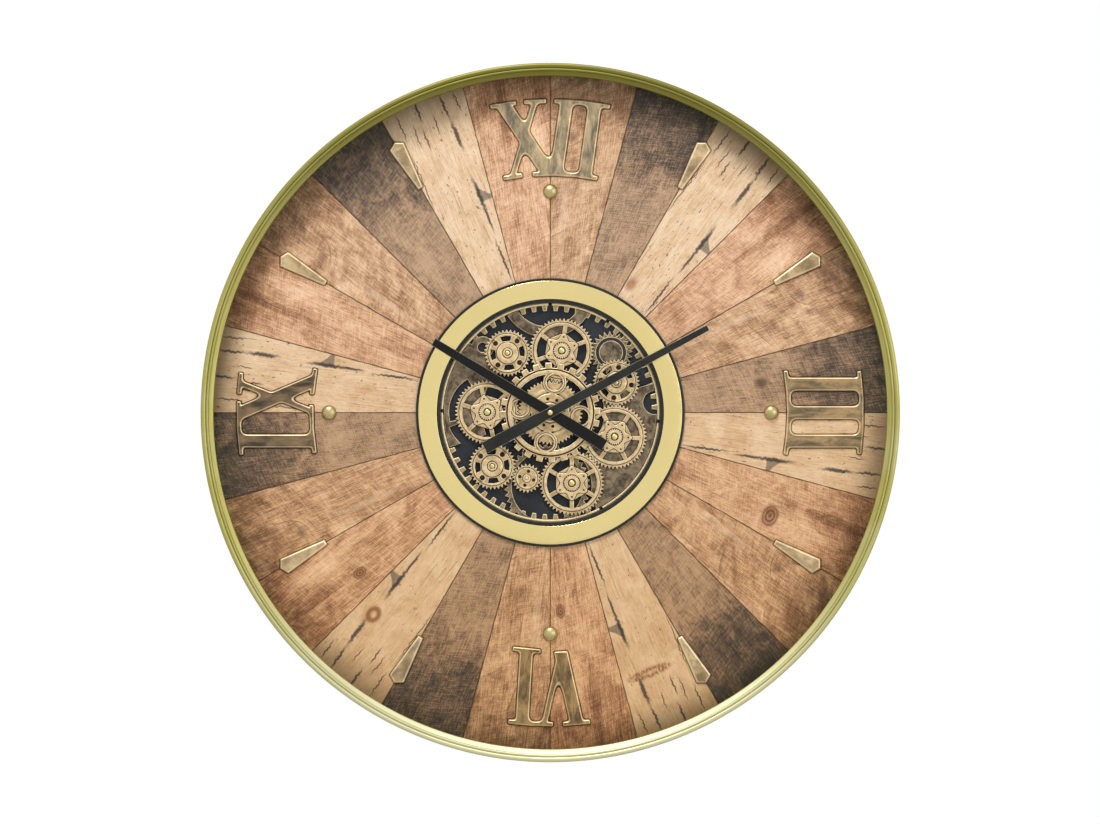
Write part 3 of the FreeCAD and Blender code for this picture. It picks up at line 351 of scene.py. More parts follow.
def piece(name, shells, material, body, nodes=()):
    """One finished piece from its shells, riding on a body in place of the named nodes."""
    first = np.cumsum([0] + [len(one["points"]) for one in shells])
    corners, sizes, curved = [], [], []
    for one, base in zip(shells, first):
        for group, smooth in one["faces"]:
            corners.append((group + base).ravel())
            sizes.append(np.full(len(group), group.shape[1]))
            curved.append(np.full(len(group), smooth))
    corners, sizes, curved = map(np.concatenate, (corners, sizes, curved))
    points = in_frame(np.concatenate([one["points"] for one in shells]))
    mesh = bpy.data.meshes.new(name)
    mesh.vertices.add(len(points))
    mesh.vertices.foreach_set("co", points.ravel())
    mesh.loops.add(len(corners))
    mesh.loops.foreach_set("vertex_index", corners)
    mesh.polygons.add(len(sizes))
    mesh.polygons.foreach_set("loop_start", np.cumsum(sizes) - sizes)
    mesh.polygons.foreach_set("use_smooth", curved)
    mesh.update(calc_edges=True)
    mesh.attributes.new("edge", "FLOAT", "POINT").data.foreach_set(
        "value", np.concatenate([one["edge"] for one in shells]))
    mesh.set_sharp_from_angle(angle=CREASE)
    mesh.materials.append(material)
    made = placed(name, mesh)
    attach(made, body)
    if nodes:
        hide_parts(*nodes)
    return made


# Materials


def rgb(red, green, blue):
    """A colour given as it looks on a screen, 0 to 255, as linear values."""
    values = [c / 255 for c in (red, green, blue)]
    return (*[c / 12.92 if c < 0.04045 else ((c + 0.055) / 1.055) ** 2.4 for c in values], 1)


class Graph:
    """The nodes of a material or of the world, and short ways to add to them."""

    def __init__(self, owner):
        owner.use_nodes = True
        self.tree = owner.node_tree

    def feed(self, socket, value):
        """Links a socket, or gives it a plain value."""
        if isinstance(value, bpy.types.NodeSocket):
            self.tree.links.new(value, socket)
        else:
            socket.default_value = value

    def add(self, kind, values, **settings):
        """A node with its settings and inputs."""
        made = self.tree.nodes.new("ShaderNode" + kind)
        for key, value in settings.items():
            setattr(made, key, value)
        for socket, value in values.items():
            self.feed(made.inputs[socket], value)
        return made

    def apply(self, operation, *values):
        """One step of arithmetic."""
        return self.add("Math", dict(enumerate(values)), operation=operation).outputs[0]

    plus = partialmethod(apply, "ADD")
    minus = partialmethod(apply, "SUBTRACT")
    times = partialmethod(apply, "MULTIPLY")
    over = partialmethod(apply, "DIVIDE")

    def length(self, one, other):
        """How far the point with these two coordinates is from the origin."""
        return self.apply("SQRT", self.plus(self.times(one, one), self.times(other, other)))

    def place(self):
        """Right, depth and up on the object, in millimetres."""
        where = self.add("TexCoord", {}).outputs["Object"]
        scaled = self.add("VectorMath", {0: where, 3: 1 / MM}, operation="SCALE").outputs[0]
        return self.add("SeparateXYZ", {0: scaled}).outputs

    def vector(self, x, y, z):
        """Three numbers as one vector."""
        return self.add("CombineXYZ", {0: x, 1: y, 2: z}).outputs[0]

    def noise(self, vector, scale=1.0, detail=3.0, roughness=0.5, distortion=0.0):
        """Soft noise between 0 and 1."""
        return self.add("TexNoise", {
            "Vector": vector, "Scale": scale, "Detail": detail,
            "Roughness": roughness, "Distortion": distortion,
        }).outputs[0]

    def fade(self, value, low, high, start=0.0, end=1.0):
        """From start to end as the value goes from low to high, eased at both ends."""
        span = {0: value, 1: low, 2: high, 3: start, 4: end}
        return self.add("MapRange", span, interpolation_type="SMOOTHSTEP").outputs[0]

    def mix(self, share, one, other, blend="MIX"):
        """A mix of two colours."""
        values = {0: share, 6: one, 7: other}
        return self.add("Mix", values, data_type="RGBA", blend_type=blend).outputs[2]

    def ramp(self, value, stops):
        """Colours along a scale, from stops of a position and a colour in red, green and blue."""
        made = self.add("ValToRGB", {0: value})
        band = made.color_ramp
        while len(band.elements) < len(stops):
            band.elements.new(0.5)
        for element, (position, *colour) in zip(band.elements, stops):
            element.position = position
            element.color = rgb(*colour)
        return made.outputs[0]

    def mark(self, name):
        """The mesh's own mark of that name, such as its eased edges."""
        return self.add("Attribute", {}, attribute_name=name).outputs["Fac"]


class Finish(Graph):
    """A material in the making: a Principled shader and the nodes that drive it."""

    def __init__(self, name, **constants):
        self.material = bpy.data.materials.new(name)
        super().__init__(self.material)
        self.shader = self.tree.nodes["Principled BSDF"]
        for socket, value in constants.items():
            self.shader.inputs[socket.replace("_", " ")].default_value = value

    def colour(self, value):
        """Sets the surface's colour."""
        self.feed(self.shader.inputs["Base Color"], value)

    def rough(self, value):
        """Sets how dull the surface is."""
        self.feed(self.shader.inputs["Roughness"], value)

    def bump(self, height, distance, strength=0.5):
        """Relief of a height in millimetres."""
        made = self.add("Bump", {"Height": height, "Strength": strength, "Distance": distance * MM})
        self.feed(self.shader.inputs["Normal"], made.outputs[0])


# Wood

PLANK = math.radians(15)
PORE, SEAM = rgb(96, 66, 44), rgb(58, 40, 28)
# Tints at the top and at the bottom of the clock, and the heights where they begin
COOL, COOL_FROM = (1.08, 1.12, 1.24, 1), 280
WARM, WARM_FROM = (0.96, 0.89, 0.79, 1), -340


class Wood(Finish):
    """A finish for the planks, which knows the place on a plank.

    across and along are millimetres from the plank's middle line and from the clock's axis, number
    counts the planks clockwise from twelve, and side is the distance to the plank's nearer side.
    The number is arctan(x, z) over a plank's angle, rounded down, and what is left gives the angle
    from the plank's middle line.
    """

    def __init__(self, name):
        super().__init__(name, Roughness=0.6, Specular_IOR_Level=0.25)
        x, _, z = self.place()
        turns = self.over(self.apply("ARCTAN2", x, z), PLANK)
        self.number = self.apply("FLOOR", turns)
        angle = self.times(self.minus(self.minus(turns, self.number), 0.5), PLANK)
        radius = self.length(x, z)
        self.across = self.times(radius, self.apply("SINE", angle))
        self.along = self.times(radius, self.apply("COSINE", angle))
        half = self.times(self.along, math.tan(PLANK / 2))
        self.side = self.minus(half, self.apply("ABSOLUTE", self.across))
        self.up = z

    def drawn(self, fine, slid, long, apart=3.7, **more):
        """Noise with its own scales across a plank, along it and from one plank to the next."""
        where = self.vector(
            self.times(self.across, fine), self.times(slid, long), self.times(self.number, apart))
        return self.noise(where, **more)

    def grain(self, fine, long, lean=0.0, **more):
        """Noise drawn out along the plank, or across it where long is the larger."""
        slid = self.plus(self.along, self.times(self.across, lean)) if lean else self.along
        return self.drawn(fine, slid, long, **more)

    def slanted(self, lean, bend, fine, long, apart, **more):
        """Noise in bands that lean across the plank and bend with its figure."""
        slid = self.plus(self.times(self.across, lean), self.plus(self.along, bend))
        return self.drawn(fine, slid, long, apart, **more)

    def total(self, *parts):
        """The sum of (value - 1/2) times weight, for several values."""
        terms = [self.times(self.minus(value, 0.5), weight) for value, weight in parts]
        return reduce(self.plus, terms)

    def oval(self, shape, across=None):
        """How far out of an oval (x, y, wide, tall) a point is, 1 on its edge."""
        x, y, wide, tall = shape
        u = self.over(self.minus(self.across if across is None else across, x), wide)
        v = self.over(self.minus(self.along, y), tall)
        return self.length(u, v)

    def patch(self, shape, low, high, share, across=None):
        """An oval with a soft edge: the share inside it and none outside."""
        return self.fade(self.oval(shape, across), low, high, share, 0.0)

    def only_on(self, wanted):
        """1 on one plank and 0 on the others."""
        away = self.apply("ABSOLUTE", self.minus(self.number, wanted))
        return self.apply("LESS_THAN", away, 0.5)


def plank_finish(name, features, weights, *shades):
    """Weathered plank wood: fibres along it, saw marks across it, and soft blotches.

    The weights say how much each of these moves the tone, which the shades turn into colour.
    features(wood, tone) gives the tone with this wood's own changes, and marks to lay over it.
    """
    wood = Wood(name)
    fibres = wood.grain(fine=0.8, long=0.03, detail=8.0, roughness=0.75)
    fine = wood.grain(fine=2.4, long=0.14, detail=4.0, roughness=0.8)
    saw = wood.grain(fine=0.07, long=0.9, lean=-0.28, detail=5.0, roughness=0.85)
    blotch = wood.grain(fine=0.045, long=0.03, detail=6.0, roughness=0.68, distortion=0.7)
    tone = wood.plus(0.5, wood.total(*zip((fibres, fine, saw, blotch), weights)))
    tone, marks = features(wood, tone)
    colour = wood.ramp(tone, shades)
    pores = wood.grain(fine=1.5, long=0.07, detail=3.0, roughness=0.7)
    colour = wood.mix(wood.fade(pores, 0.41, 0.3, 0.0, 0.55), colour, PORE)
    for share, shade in marks:
        colour = wood.mix(share, colour, rgb(*shade))
    low = wood.fade(wood.up, COOL_FROM, WARM_FROM)
    colour = wood.mix(1.0, colour, wood.mix(low, COOL, WARM), "MULTIPLY")
    edge_tone = wood.plus(wood.side, wood.times(wood.minus(fibres, 0.5), 2.5))
    wood.colour(wood.mix(wood.fade(edge_tone, 0.1, 1.1, 0.65, 0.0), colour, SEAM))
    wood.bump(wood.plus(fine, wood.times(fibres, 1.5)), distance=0.25, strength=0.35)
    return wood.material


def tan_features(wood, tone):
    """Slanting bands, a swirl about an eye near the outer end, and a darker outer end."""
    eye = wood.oval((-17, 317, 9, 8))
    bend = wood.fade(eye, 0.6, 4.5, 26.0, 0.0)
    bands = wood.slanted(
        -0.75, bend, fine=0.02, long=0.055, apart=0.05, detail=4.0, roughness=0.6, distortion=0.35)
    lines = wood.slanted(
        -0.6, bend, fine=0.022, long=0.2, apart=0.02, detail=5.0, roughness=0.6, distortion=0.25)
    end = wood.fade(wood.along, 308, 392, 0.0, -0.25)
    tone = wood.plus(wood.plus(tone, end), wood.total((bands, 0.5)))
    slants = wood.fade(lines, 0.4, 0.3, 0.0, 0.6)
    light = wood.patch((-15, 235, 5, 42), 0.3, 1.3, 0.35)
    thin = wood.fade(bands, 0.35, 0.6, 1.0, 0.2)
    smoke = wood.times(wood.patch((-20, 372, 26, 30), 0.3, 1.2, 0.6), thin)
    middle = wood.fade(eye, 0.2, 1.1, 0.55, 0.0)
    return tone, (
        (slants, (112, 80, 58)), (light, (226, 190, 158)),
        (smoke, (88, 68, 56)), (middle, (110, 78, 58)))


def dark_features(wood, tone):
    """Nearly black at the outer end, and a ragged change to grey-tan towards the middle."""
    ragged = wood.grain(fine=0.045, long=0.05, detail=6.0, roughness=0.7)
    edge = wood.plus(wood.along, wood.times(wood.minus(ragged, 0.5), 90))
    tone = wood.plus(tone, wood.fade(edge, 262, 325, 0.16, -0.2))
    tone = wood.plus(tone, wood.fade(wood.along, 330, 392, 0.0, -0.16))
    knot = wood.times(wood.patch((-2, 245, 6, 7), 0.4, 1.6, 0.85), wood.only_on(5))
    return tone, ((knot, (92, 68, 52)),)


# A pale plank's crack, as ovals laid end to end, and the short black streaks beside it
CRACKS = (
    (17.5, 183, 1.5, 27), (20, 236, 1.6, 20), (20.5, 262, 2.6, 24), (23, 336, 2.7, 20),
    (22, 372, 1.7, 17), (-8, 379, 1.6, 15), (-11, 344, 1.1, 13), (-33, 368, 1.0, 18),
    (-34, 300, 0.7, 40), (38, 372, 1.0, 14), (-20, 352, 0.8, 16), (6, 356, 0.7, 12),
)


def crack_marks(wood):
    """The swaying crack with its streaks, and the torn notch at its side."""
    where = wood.vector(0.0, wood.times(wood.along, 0.09), 3.0)
    sway = wood.noise(where, detail=5.0, roughness=0.65)
    moved = wood.plus(wood.across, wood.times(wood.minus(sway, 0.5), 9.0))
    ovals = [wood.patch(shape, 0.45, 1.25, 0.9, moved) for shape in CRACKS]
    crack = reduce(lambda one, other: wood.apply("MAXIMUM", one, other), ovals)
    past = wood.minus(moved, 20.5)
    upper = wood.minus(wood.minus(271, wood.times(past, 0.95)), wood.along)
    lower = wood.minus(wood.along, 254)
    inside = wood.fade(wood.apply("MINIMUM", upper, lower), -1.0, 1.2)
    beside = wood.times(wood.fade(past, -2, 0), wood.fade(past, 16, 19, 0.7, 0.0))
    return crack, wood.times(inside, beside)


def rust_marks(wood, speck):
    """A speckled oval of rust on one plank and a round mark on another."""
    edge = wood.apply("ABSOLUTE", wood.minus(wood.oval((9, 320, 22, 4.5)), 0.8))
    torn = wood.times(wood.fade(edge, 0.1, 0.7, 0.85, 0.15), wood.fade(speck, 0.35, 0.6, 0.25, 1.0))
    limit = wood.patch((9, 320, 26, 7), 0.9, 1.3, 1.0)
    smear = wood.times(wood.times(torn, wood.only_on(10)), limit)
    edge = wood.apply("ABSOLUTE", wood.minus(wood.oval((20, 308, 7, 9)), 0.8))
    stain = wood.times(wood.fade(edge, 0.1, 0.6, 0.8, 0.0), wood.only_on(-10))
    return wood.apply("MAXIMUM", smear, stain)


def pale_features(wood, tone):
    """A crack in pieces with a torn notch, short black streaks, specks, and rust on two planks."""
    crack, notch = crack_marks(wood)
    speck = wood.grain(fine=0.4, long=0.17, detail=2.0, roughness=0.5)
    specks = wood.fade(speck, 0.67, 0.72, 0.0, 0.8)
    scratch = wood.grain(fine=0.5, long=0.012, detail=3.0, roughness=0.6)
    scratches = wood.fade(scratch, 0.36, 0.31, 0.0, 0.55)
    rust = rust_marks(wood, speck)
    knot = wood.times(wood.patch((-16, 174, 6, 9), 0.4, 1.4, 0.7), wood.only_on(2))
    end = wood.fade(wood.along, 345, 395, 0.0, 0.75)
    return tone, (
        (end, (128, 94, 64)), (scratches, (140, 102, 72)), (specks, (92, 68, 52)),
        (notch, (84, 74, 68)), (crack, (58, 50, 48)), (rust, (134, 74, 34)), (knot, (142, 84, 50)))


# The knots of the orange planks: the plank's number, and the oval
KNOTS = (
    (7, (13, 279, 12, 9)), (-9, (-13, 286, 6, 8)), (11, (18, 228, 5, 8)), (3, (-42, 350, 7, 6)),
)


def orange_features(wood, tone):
    """A browner outer end, a pale lens, a tongue of grain near the middle, and some knots."""
    end = wood.fade(wood.along, 300, 392, 0.0, -0.3)
    lens = wood.patch((20, 320, 14, 46), 0.2, 1.3, 0.2)
    tongue = wood.patch((6, 178, 15, 40), 0.75, 1.05, -0.06)
    band = wood.patch((-8, 345, 7, 60), 0.4, 1.3, -0.16)
    tone = wood.plus(tone, wood.plus(wood.plus(end, lens), wood.plus(tongue, band)))
    marks = []
    for plank, shape in KNOTS:
        out = wood.oval(shape)
        rings = wood.times(wood.plus(wood.apply("SINE", wood.times(out, 15)), 3.4), 0.22)
        share = wood.times(wood.fade(out, 0.75, 1.35, 1.0, 0.0), rings)
        marks.append((wood.times(share, wood.only_on(plank)), (112, 66, 40)))
    return tone, marks


WOODS = {
    "planks_tan": plank_finish(
        "tan_wood", tan_features, (1.0, 1.2, 0.9, 0.9),
        (0.08, 98, 66, 44), (0.34, 156, 114, 80), (0.56, 206, 162, 122), (0.88, 236, 200, 160)),
    "planks_dark": plank_finish(
        "dark_wood", dark_features, (1.0, 1.7, 1.6, 1.1),
        (0.05, 56, 48, 41), (0.32, 104, 84, 67), (0.56, 159, 125, 95), (0.88, 192, 156, 121)),
    "planks_pale": plank_finish(
        "pale_wood", pale_features, (0.9, 0.6, 0.3, 0.8),
        (0.02, 158, 112, 74), (0.32, 200, 158, 116), (0.54, 221, 187, 148), (0.85, 237, 209, 176)),
    "planks_orange": plank_finish(
        "orange_wood", orange_features, (1.0, 1.1, 0.9, 0.9),
        (0.05, 100, 64, 42), (0.34, 172, 123, 87), (0.56, 218, 172, 132), (0.88, 240, 202, 164)),
}

# Metal, paint and glass

# Painted shade: the dark laid into corners and hollows, and onto the foot of a raised piece
CORNER_SHADE, FOOT_SHADE = rgb(34, 27, 22), rgb(40, 30, 22)


def metal(name, base, dark, bright, roughness,
          corner_shade=0.7, reach=1.6, grain=0.6, size=0.16, drawn=(1, 1, 1)):
    """Aged metal: patches of a second shade, painted shade in the corners, paler edges that are
    painted highlight and wear, and painted shade at the foot.

    corner_shade is the share of the painted corner shade and reach how far it spreads in
    millimetres. grain is the share of the second shade, size the scale of its patches, and drawn
    stretches them.
    """
    skin = Finish(name, Metallic=1.0)
    base, dark, bright = (rgb(*shade) for shade in (base, dark, bright))
    place = skin.vector(*skin.place())
    where = skin.add("VectorMath", {0: place, 1: drawn}, operation="MULTIPLY").outputs[0]
    patches = skin.noise(where, size, 5.0, 0.65, 0.4)
    grit = skin.noise(where, size * 8, 4.0, 0.7)
    # Painted shade: darker where ambient occlusion finds a corner or hollow close by
    occlusion = skin.add("AmbientOcclusion", {"Distance": reach * MM}, samples=8).outputs["AO"]
    colour = skin.mix(skin.fade(patches, 0.3, 0.7, 0.0, grain), base, dark)
    colour = skin.mix(skin.fade(grit, 0.52, 0.75, 0.0, grain * 0.6), colour, dark)
    colour = skin.mix(skin.fade(occlusion, 0.35, 0.95, corner_shade, 0.0), colour, CORNER_SHADE)
    # Painted highlight, with some wear: paler on the eased edges
    mark = skin.mark("edge")
    edge_tone = skin.times(skin.fade(mark, 0.0, 0.9), skin.fade(patches, 0.25, 0.65, 1.0, 0.7))
    colour = skin.mix(edge_tone, colour, bright)
    # Painted shade: darker on a flared foot, where the piece meets the face below it
    skin.colour(skin.mix(skin.fade(mark, -0.6, -0.05, 0.85, 0.0), colour, FOOT_SHADE))
    skin.rough(skin.fade(grit, 0.2, 0.8, roughness - 0.08, roughness + 0.12))
    skin.bump(grit, 0.05, 0.3)
    return skin.material


def streaked(name, base, dark, bright, roughness):
    """Spun metal: streaks that follow the circle, from noise fine in radius and slow round it."""
    skin = Finish(name, Metallic=1.0)
    base, dark, bright = (rgb(*shade) for shade in (base, dark, bright))
    x, y, z = skin.place()
    across = skin.plus(skin.length(x, z), skin.times(y, 0.8))
    round_it = skin.vector(skin.times(across, 1.3), skin.over(x, 70), skin.over(z, 70))
    lines = skin.noise(round_it, detail=6.0, roughness=0.75)
    cloud = skin.noise(skin.vector(skin.over(x, 60), skin.over(y, 60), skin.over(z, 60)))
    colour = skin.mix(skin.fade(lines, 0.35, 0.75, 0.0, 0.5), base, dark)
    colour = skin.mix(skin.fade(cloud, 0.45, 0.8, 0.0, 0.15), colour, bright)
    # Painted light: darker towards the top and paler towards the bottom, as light from above falls
    # on the sloped band
    colour = skin.mix(skin.fade(z, 100, 400, 0.0, 0.9), colour, dark)
    skin.colour(skin.mix(skin.fade(z, -120, -400, 0.0, 0.6), colour, bright))
    skin.rough(skin.fade(lines, 0.2, 0.8, roughness, roughness + 0.18))
    skin.bump(lines, 0.08, 0.4)
    return skin.material


def painted(name, base, dark, roughness, scale=0.6, relief=0.04, edge=None):
    """An even coat of paint or a moulded skin, with a fine pebble, and a painted highlight on its
    eased edges if asked for.
    """
    skin = Finish(name, Specular_IOR_Level=0.2)
    where = skin.vector(*skin.place())
    pebble = skin.noise(where, scale * 4, 2.0, 0.5)
    cloud = skin.noise(where, scale * 0.05, 4.0, 0.6)
    colour = skin.mix(skin.fade(cloud, 0.3, 0.75), rgb(*base), rgb(*dark))
    # Painted highlight: paler on the eased edges
    if edge:
        edge_tone = skin.times(skin.mark("edge"), skin.fade(cloud, 0.2, 0.8, 1.0, 0.75))
        colour = skin.mix(edge_tone, colour, rgb(*edge))
    skin.colour(colour)
    skin.rough(skin.fade(pebble, 0.2, 0.8, roughness - 0.06, roughness + 0.08))
    if relief:
        skin.bump(pebble, relief, 0.4)
    return skin.material


def glass_finish():
    """Clear flat glass, with the faint green of its own thickness towards the edge."""
    pane = Finish("clear_glass")
    x, _, z = pane.place()
    outwards = pane.fade(pane.length(x, z), 360, 392)
    tint = pane.mix(outwards, (0.985, 0.99, 0.985, 1), (0.93, 0.965, 0.94, 1))
    clear = pane.add("BsdfTransparent", {"Color": tint})
    pane.feed(pane.tree.nodes["Material Output"].inputs["Surface"], clear.outputs[0])
    pane.tree.nodes.remove(pane.shader)
    return pane.material


RIM = streaked("rim_metal", (172, 165, 96), (112, 107, 48), (216, 214, 184), roughness=0.38)
BATON = metal(
    "baton_brass", (212, 184, 144), (122, 100, 72), (250, 230, 192), roughness=0.4,
    grain=0.9, reach=3.0, size=0.04)
STUD = metal(
    "stud_brass", (196, 178, 128), (150, 132, 88), (230, 214, 168), roughness=0.34,
    grain=0.5, reach=4.0)
GEAR = metal(
    "gear_brass", (219, 189, 143), (146, 119, 86), (254, 240, 206), roughness=0.42,
    grain=0.7, corner_shade=1.0, reach=3.4)
FINE = metal(
    "gear_detail", (230, 201, 156), (162, 134, 98), (255, 244, 212), roughness=0.4,
    corner_shade=1.0, reach=1.8)
BRONZE = metal(
    "dark_bronze", (148, 130, 107), (72, 62, 53), (216, 196, 156), roughness=0.55,
    grain=1.0, reach=2.5, size=0.12)
TOOTH = metal(
    "ring_bronze", (182, 156, 114), (120, 100, 72), (244, 222, 176), roughness=0.45, corner_shade=0.6)
# Painted shade: the dark of grooves, holes and cuts, laid on as thin dark pieces
RECESS_SHADE = painted("painted_recess_shade", (30, 23, 18), (42, 33, 26), roughness=0.6)
GOLD = metal(
    "bezel_gold", (234, 212, 148), (224, 200, 132), (246, 230, 176), roughness=0.14,
    grain=0.35, corner_shade=0.1, size=0.01)
# The pale edge colours of the black bezel ring and of the hands are painted highlights
BLACK = painted("bezel_black", (32, 33, 32), (42, 42, 40), roughness=0.4, edge=(92, 88, 78))
HAND = painted(
    "hand_black", (30, 30, 28), (42, 41, 38), roughness=0.4, relief=0, edge=(250, 238, 208))
HOUR = painted("hour_black", (8, 8, 7), (14, 13, 12), roughness=0.4, relief=0, edge=(240, 224, 190))
SLATE = painted("slate_plate", (46, 48, 54), (34, 35, 40), roughness=0.55, relief=0)
BOARD = painted("fibreboard", (150, 116, 82), (126, 96, 66), roughness=0.85, scale=2.4, relief=0.1)
STEEL = metal(
    "sheet_steel", (176, 176, 176), (140, 140, 142), (205, 205, 205), roughness=0.36,
    grain=0.5, corner_shade=0.3)
ARBOR = metal(
    "arbor_brass", (220, 200, 140), (180, 156, 100), (240, 228, 180), roughness=0.28,
    grain=0.3, corner_shade=0.5)
CASE = painted("black_plastic", (30, 30, 31), (38, 38, 38), roughness=0.5, relief=0.05)
SLEEVE = painted("cell_sleeve", (72, 86, 104), (60, 72, 90), roughness=0.35)
GLASS = glass_finish()

PLAIN = {
    "dial_board": BOARD, "case_brackets": STEEL, "hanger_bracket": STEEL, "mounting_plate": SLATE,
    "gear_arbors": STEEL, "centre_bush": ARBOR, "hour_tube": ARBOR, "minute_arbor": ARBOR,
    "works_case": CASE, "setting_knob": CASE, "drive_case": CASE, "drive_shaft": STEEL,
    "cells": SLEEVE, "cell_contacts": STEEL, "front_glass": GLASS, **WOODS,
}
for node, material in PLAIN.items():
    NODES[node].data.materials.clear()
    NODES[node].data.materials.append(material)


# Case

# Depths of the dial's face, and of the works' and the mounting plate's backs
DIAL, WORKS_BACK, PLATE_BACK = 33, 8, 24


def rim_section():
    """The rim's section: a thin skirt, a round outer bead, a low inner bead and a sloped band."""
    a = np.linspace(0, np.pi, 15)
    bead = np.stack((397.1 + 2.9 * np.cos(a), 68.3 + 1.7 * np.sin(a)), -1)
    b = np.linspace(0, np.pi, 9)[1:]
    inner = np.stack((392.6 + 1.5 * np.cos(b), 68.2 + 0.9 * np.sin(b)), -1)
    c = np.linspace(0, np.pi / 2, 5)
    lip = np.stack((386.6 - 1.1 * np.sin(c), 64.6 + 1.1 * np.cos(c)), -1)
    return np.concatenate((
        [(398.5, 0.3), (398.8, 0), (399.7, 0), (400, 0.3), (400, 30), (400, 67.6)],
        bead[1:],
        inner,
        [(390.2, 67.6)],
        lip,
        [(385.5, 59.4), (385.9, 59), (398.5, 59), (398.5, 30)],
    ))


piece("spun_rim", [turned(rim_section(), 512)], RIM, "case", ["case_rim"])
# The black ring's rounded edges are marked for a painted highlight
edged = [0, 0, 1, 1, 1, 0, 0, 1, 1, 1]
black = turned(rounded_profile(126.3, 154.7, DIAL, 36, 0.5), 256, edge=edged)
piece("bezel_black", [black], BLACK, "case", ["bezel_ring"])
gold = turned(rounded_profile(130.6, 151.7, 34, 36.4, 0.4), 256)
piece("bezel_gold", [gold], GOLD, "case")

# Numerals, batons and studs

# Each numeral gets a tone of its own as painted light, palest at twelve and darkest at nine, with
# smears along its strokes
UPRIGHT, LEVEL = (1, 1, 0.35), (0.35, 1, 1)
NUMERALS = {
    "numeral_xii": ((204, 180, 142), (106, 97, 84), UPRIGHT),
    "numeral_iii": ((176, 146, 106), (92, 82, 68), LEVEL),
    "numeral_vi": ((178, 144, 98), (84, 70, 52), UPRIGHT),
    "numeral_ix": ((146, 121, 94), (70, 62, 54), LEVEL),
}
for node, (base, dark, drawn) in NUMERALS.items():
    brass = metal(
        node + "_brass", base, dark, (246, 224, 180), roughness=0.4,
        grain=1.0, reach=3.0, size=0.09, drawn=drawn)
    cast = dressed(
        node, shoulder=1.5, drop=1.4, round_out=1.4, round_in=7.6, clear=12,
        steps=7, arc=6, flare=1.2)
    piece(node + "_cast", cast, brass, "case", [node])
batons = dressed(
    "hour_batons", shoulder=2.2, drop=1.7, round_out=1.0, round_in=1.0, arc=5, flare=1.0)
piece("batons_cast", batons, BATON, "case", ["hour_batons"])
studs = [turned(dome(8.5, DIAL, 5.2, 0.8), 48, spot(254.5, turn)) for turn in (0, 90, 180, 270)]
piece("dial_studs", studs, STUD, "case")

# Gear well

for node in ("top_arm", "left_plate", "right_plate", "crescent_ring", "fixed_gear", "tooth_ring"):
    finish, slot = (TOOTH, "ring_bronze") if node == "tooth_ring" else (BRONZE, "dark_bronze")
    plate = dressed(node, shoulder=0.8, drop=0.4, round_out=0.6, round_in=0.6, arc=3)
    piece(node + "_stamped", plate, finish, "case", [node])

band = rounded_profile(123.5, 126.1, back=27.3, front=28.6, rounding=0.4, steps=3)
well = turned(band, 256, edge=[0, 0, 0.5, 1, 1, 1, 1, 0.5])
piece("well_band", [well], TOOTH, "case")
boss = dome(2.1, 28.4, 1.2, 0.8, steps=5)
bosses = [turned(boss, 20, spot(124.2, turn)) for turn in (0, 32, 94.5, 152, 271)]
piece("well_screws", bosses, BLACK, "case")

# Beads on the fixed gear, clear of the gear that turns in front
fixed = spot(98.3, 45.33)
sections = [rounded_profile(*radii, 28.8, 29.2, 0.3, 3) for radii in ((17.4, 18.3), (12.9, 13.8))]
beads = [turned(section, 80, fixed, [0, 0, 1, 1, 1, 1, 1, 1]) for section in sections]
piece("fixed_gear_beads", beads, BRONZE, "case")
# A dark ring between the beads stands in for the groove: painted shade
shade = turned(rounded_profile(13.6, 17.6, 28.8, 29.0, 0.05, 3), 80, fixed)
piece("fixed_gear_groove", [shade], SLATE, "case")

# Gears

GEARS = {
    "star_gear_top": "top_gear", "star_gear_left": "left_gear", "star_gear_right": "right_gear",
    "star_gear_bottom": "bottom_gear", "hole_gear_upper": "upper_gear",
    "hole_gear_lower": "lower_gear", "hole_gear_side": "side_gear", "drive_pinion": "pinion",
    "centre_wheel": "centre_gear", "ring_gear": "centre_gear",
}
for node, body in GEARS.items():
    shoulder = 0.7 if node == "ring_gear" else 0.38
    brass = dressed(node, shoulder, drop=0.35, round_out=0.25, round_in=0.4, arc=3)
    piece(node + "_brass", brass, GEAR, body, [node])

AXIS = (0, 0)
HUBS = {}
for joint in frame["joints"]:
    x, _, z = joint["pos_m"]
    HUBS[joint["child"]] = (x / MM, z / MM)

# Depths of what lies on a gear and on the ring gear, whose faces are at 32.4 and 35.8: trim starts
# sunk in the face, a dark sheet of painted shade ends just proud of it, and a rim stands over both
SUNK, SHADE, RAISED = 32.2, 32.5, 32.7
RING_SUNK, RING_SHADE, RING_RAISED = 35.6, 35.92, 36.2


def groove(inner, outer, front=SHADE, centre=AXIS, sides=96):
    """A flat dark ring just proud of the face that it lies on: painted shade in a groove or round a
    raised part.
    """
    back = front - 0.2
    return turned([(inner, back), (outer, back), (outer, front), (inner, front)], sides, centre)


def ring(inner, outer, back=SUNK, front=RAISED, centre=AXIS, sides=96, rounding=0.15):
    """A raised ring whose eased edges are marked to be paler: painted highlight and wear."""
    profile = rounded_profile(inner, outer, back, front, rounding, 3)
    return turned(profile, sides, centre, [0, 0, 0.4, 0.9, 0.1, 0.1, 0.9, 0.4])


def pit(radius, back, centre, sides, height=0.1):
    """A round hole shown as a low dark disc: painted shade in the hole."""
    return turned(dome(radius, back, height, 0.06, 3), sides, centre)


def rivet(radius, back, centre, sides):
    """A small round rivet head."""
    return turned(dome(radius, back, 0.5, 0.1, 4), sides, centre)


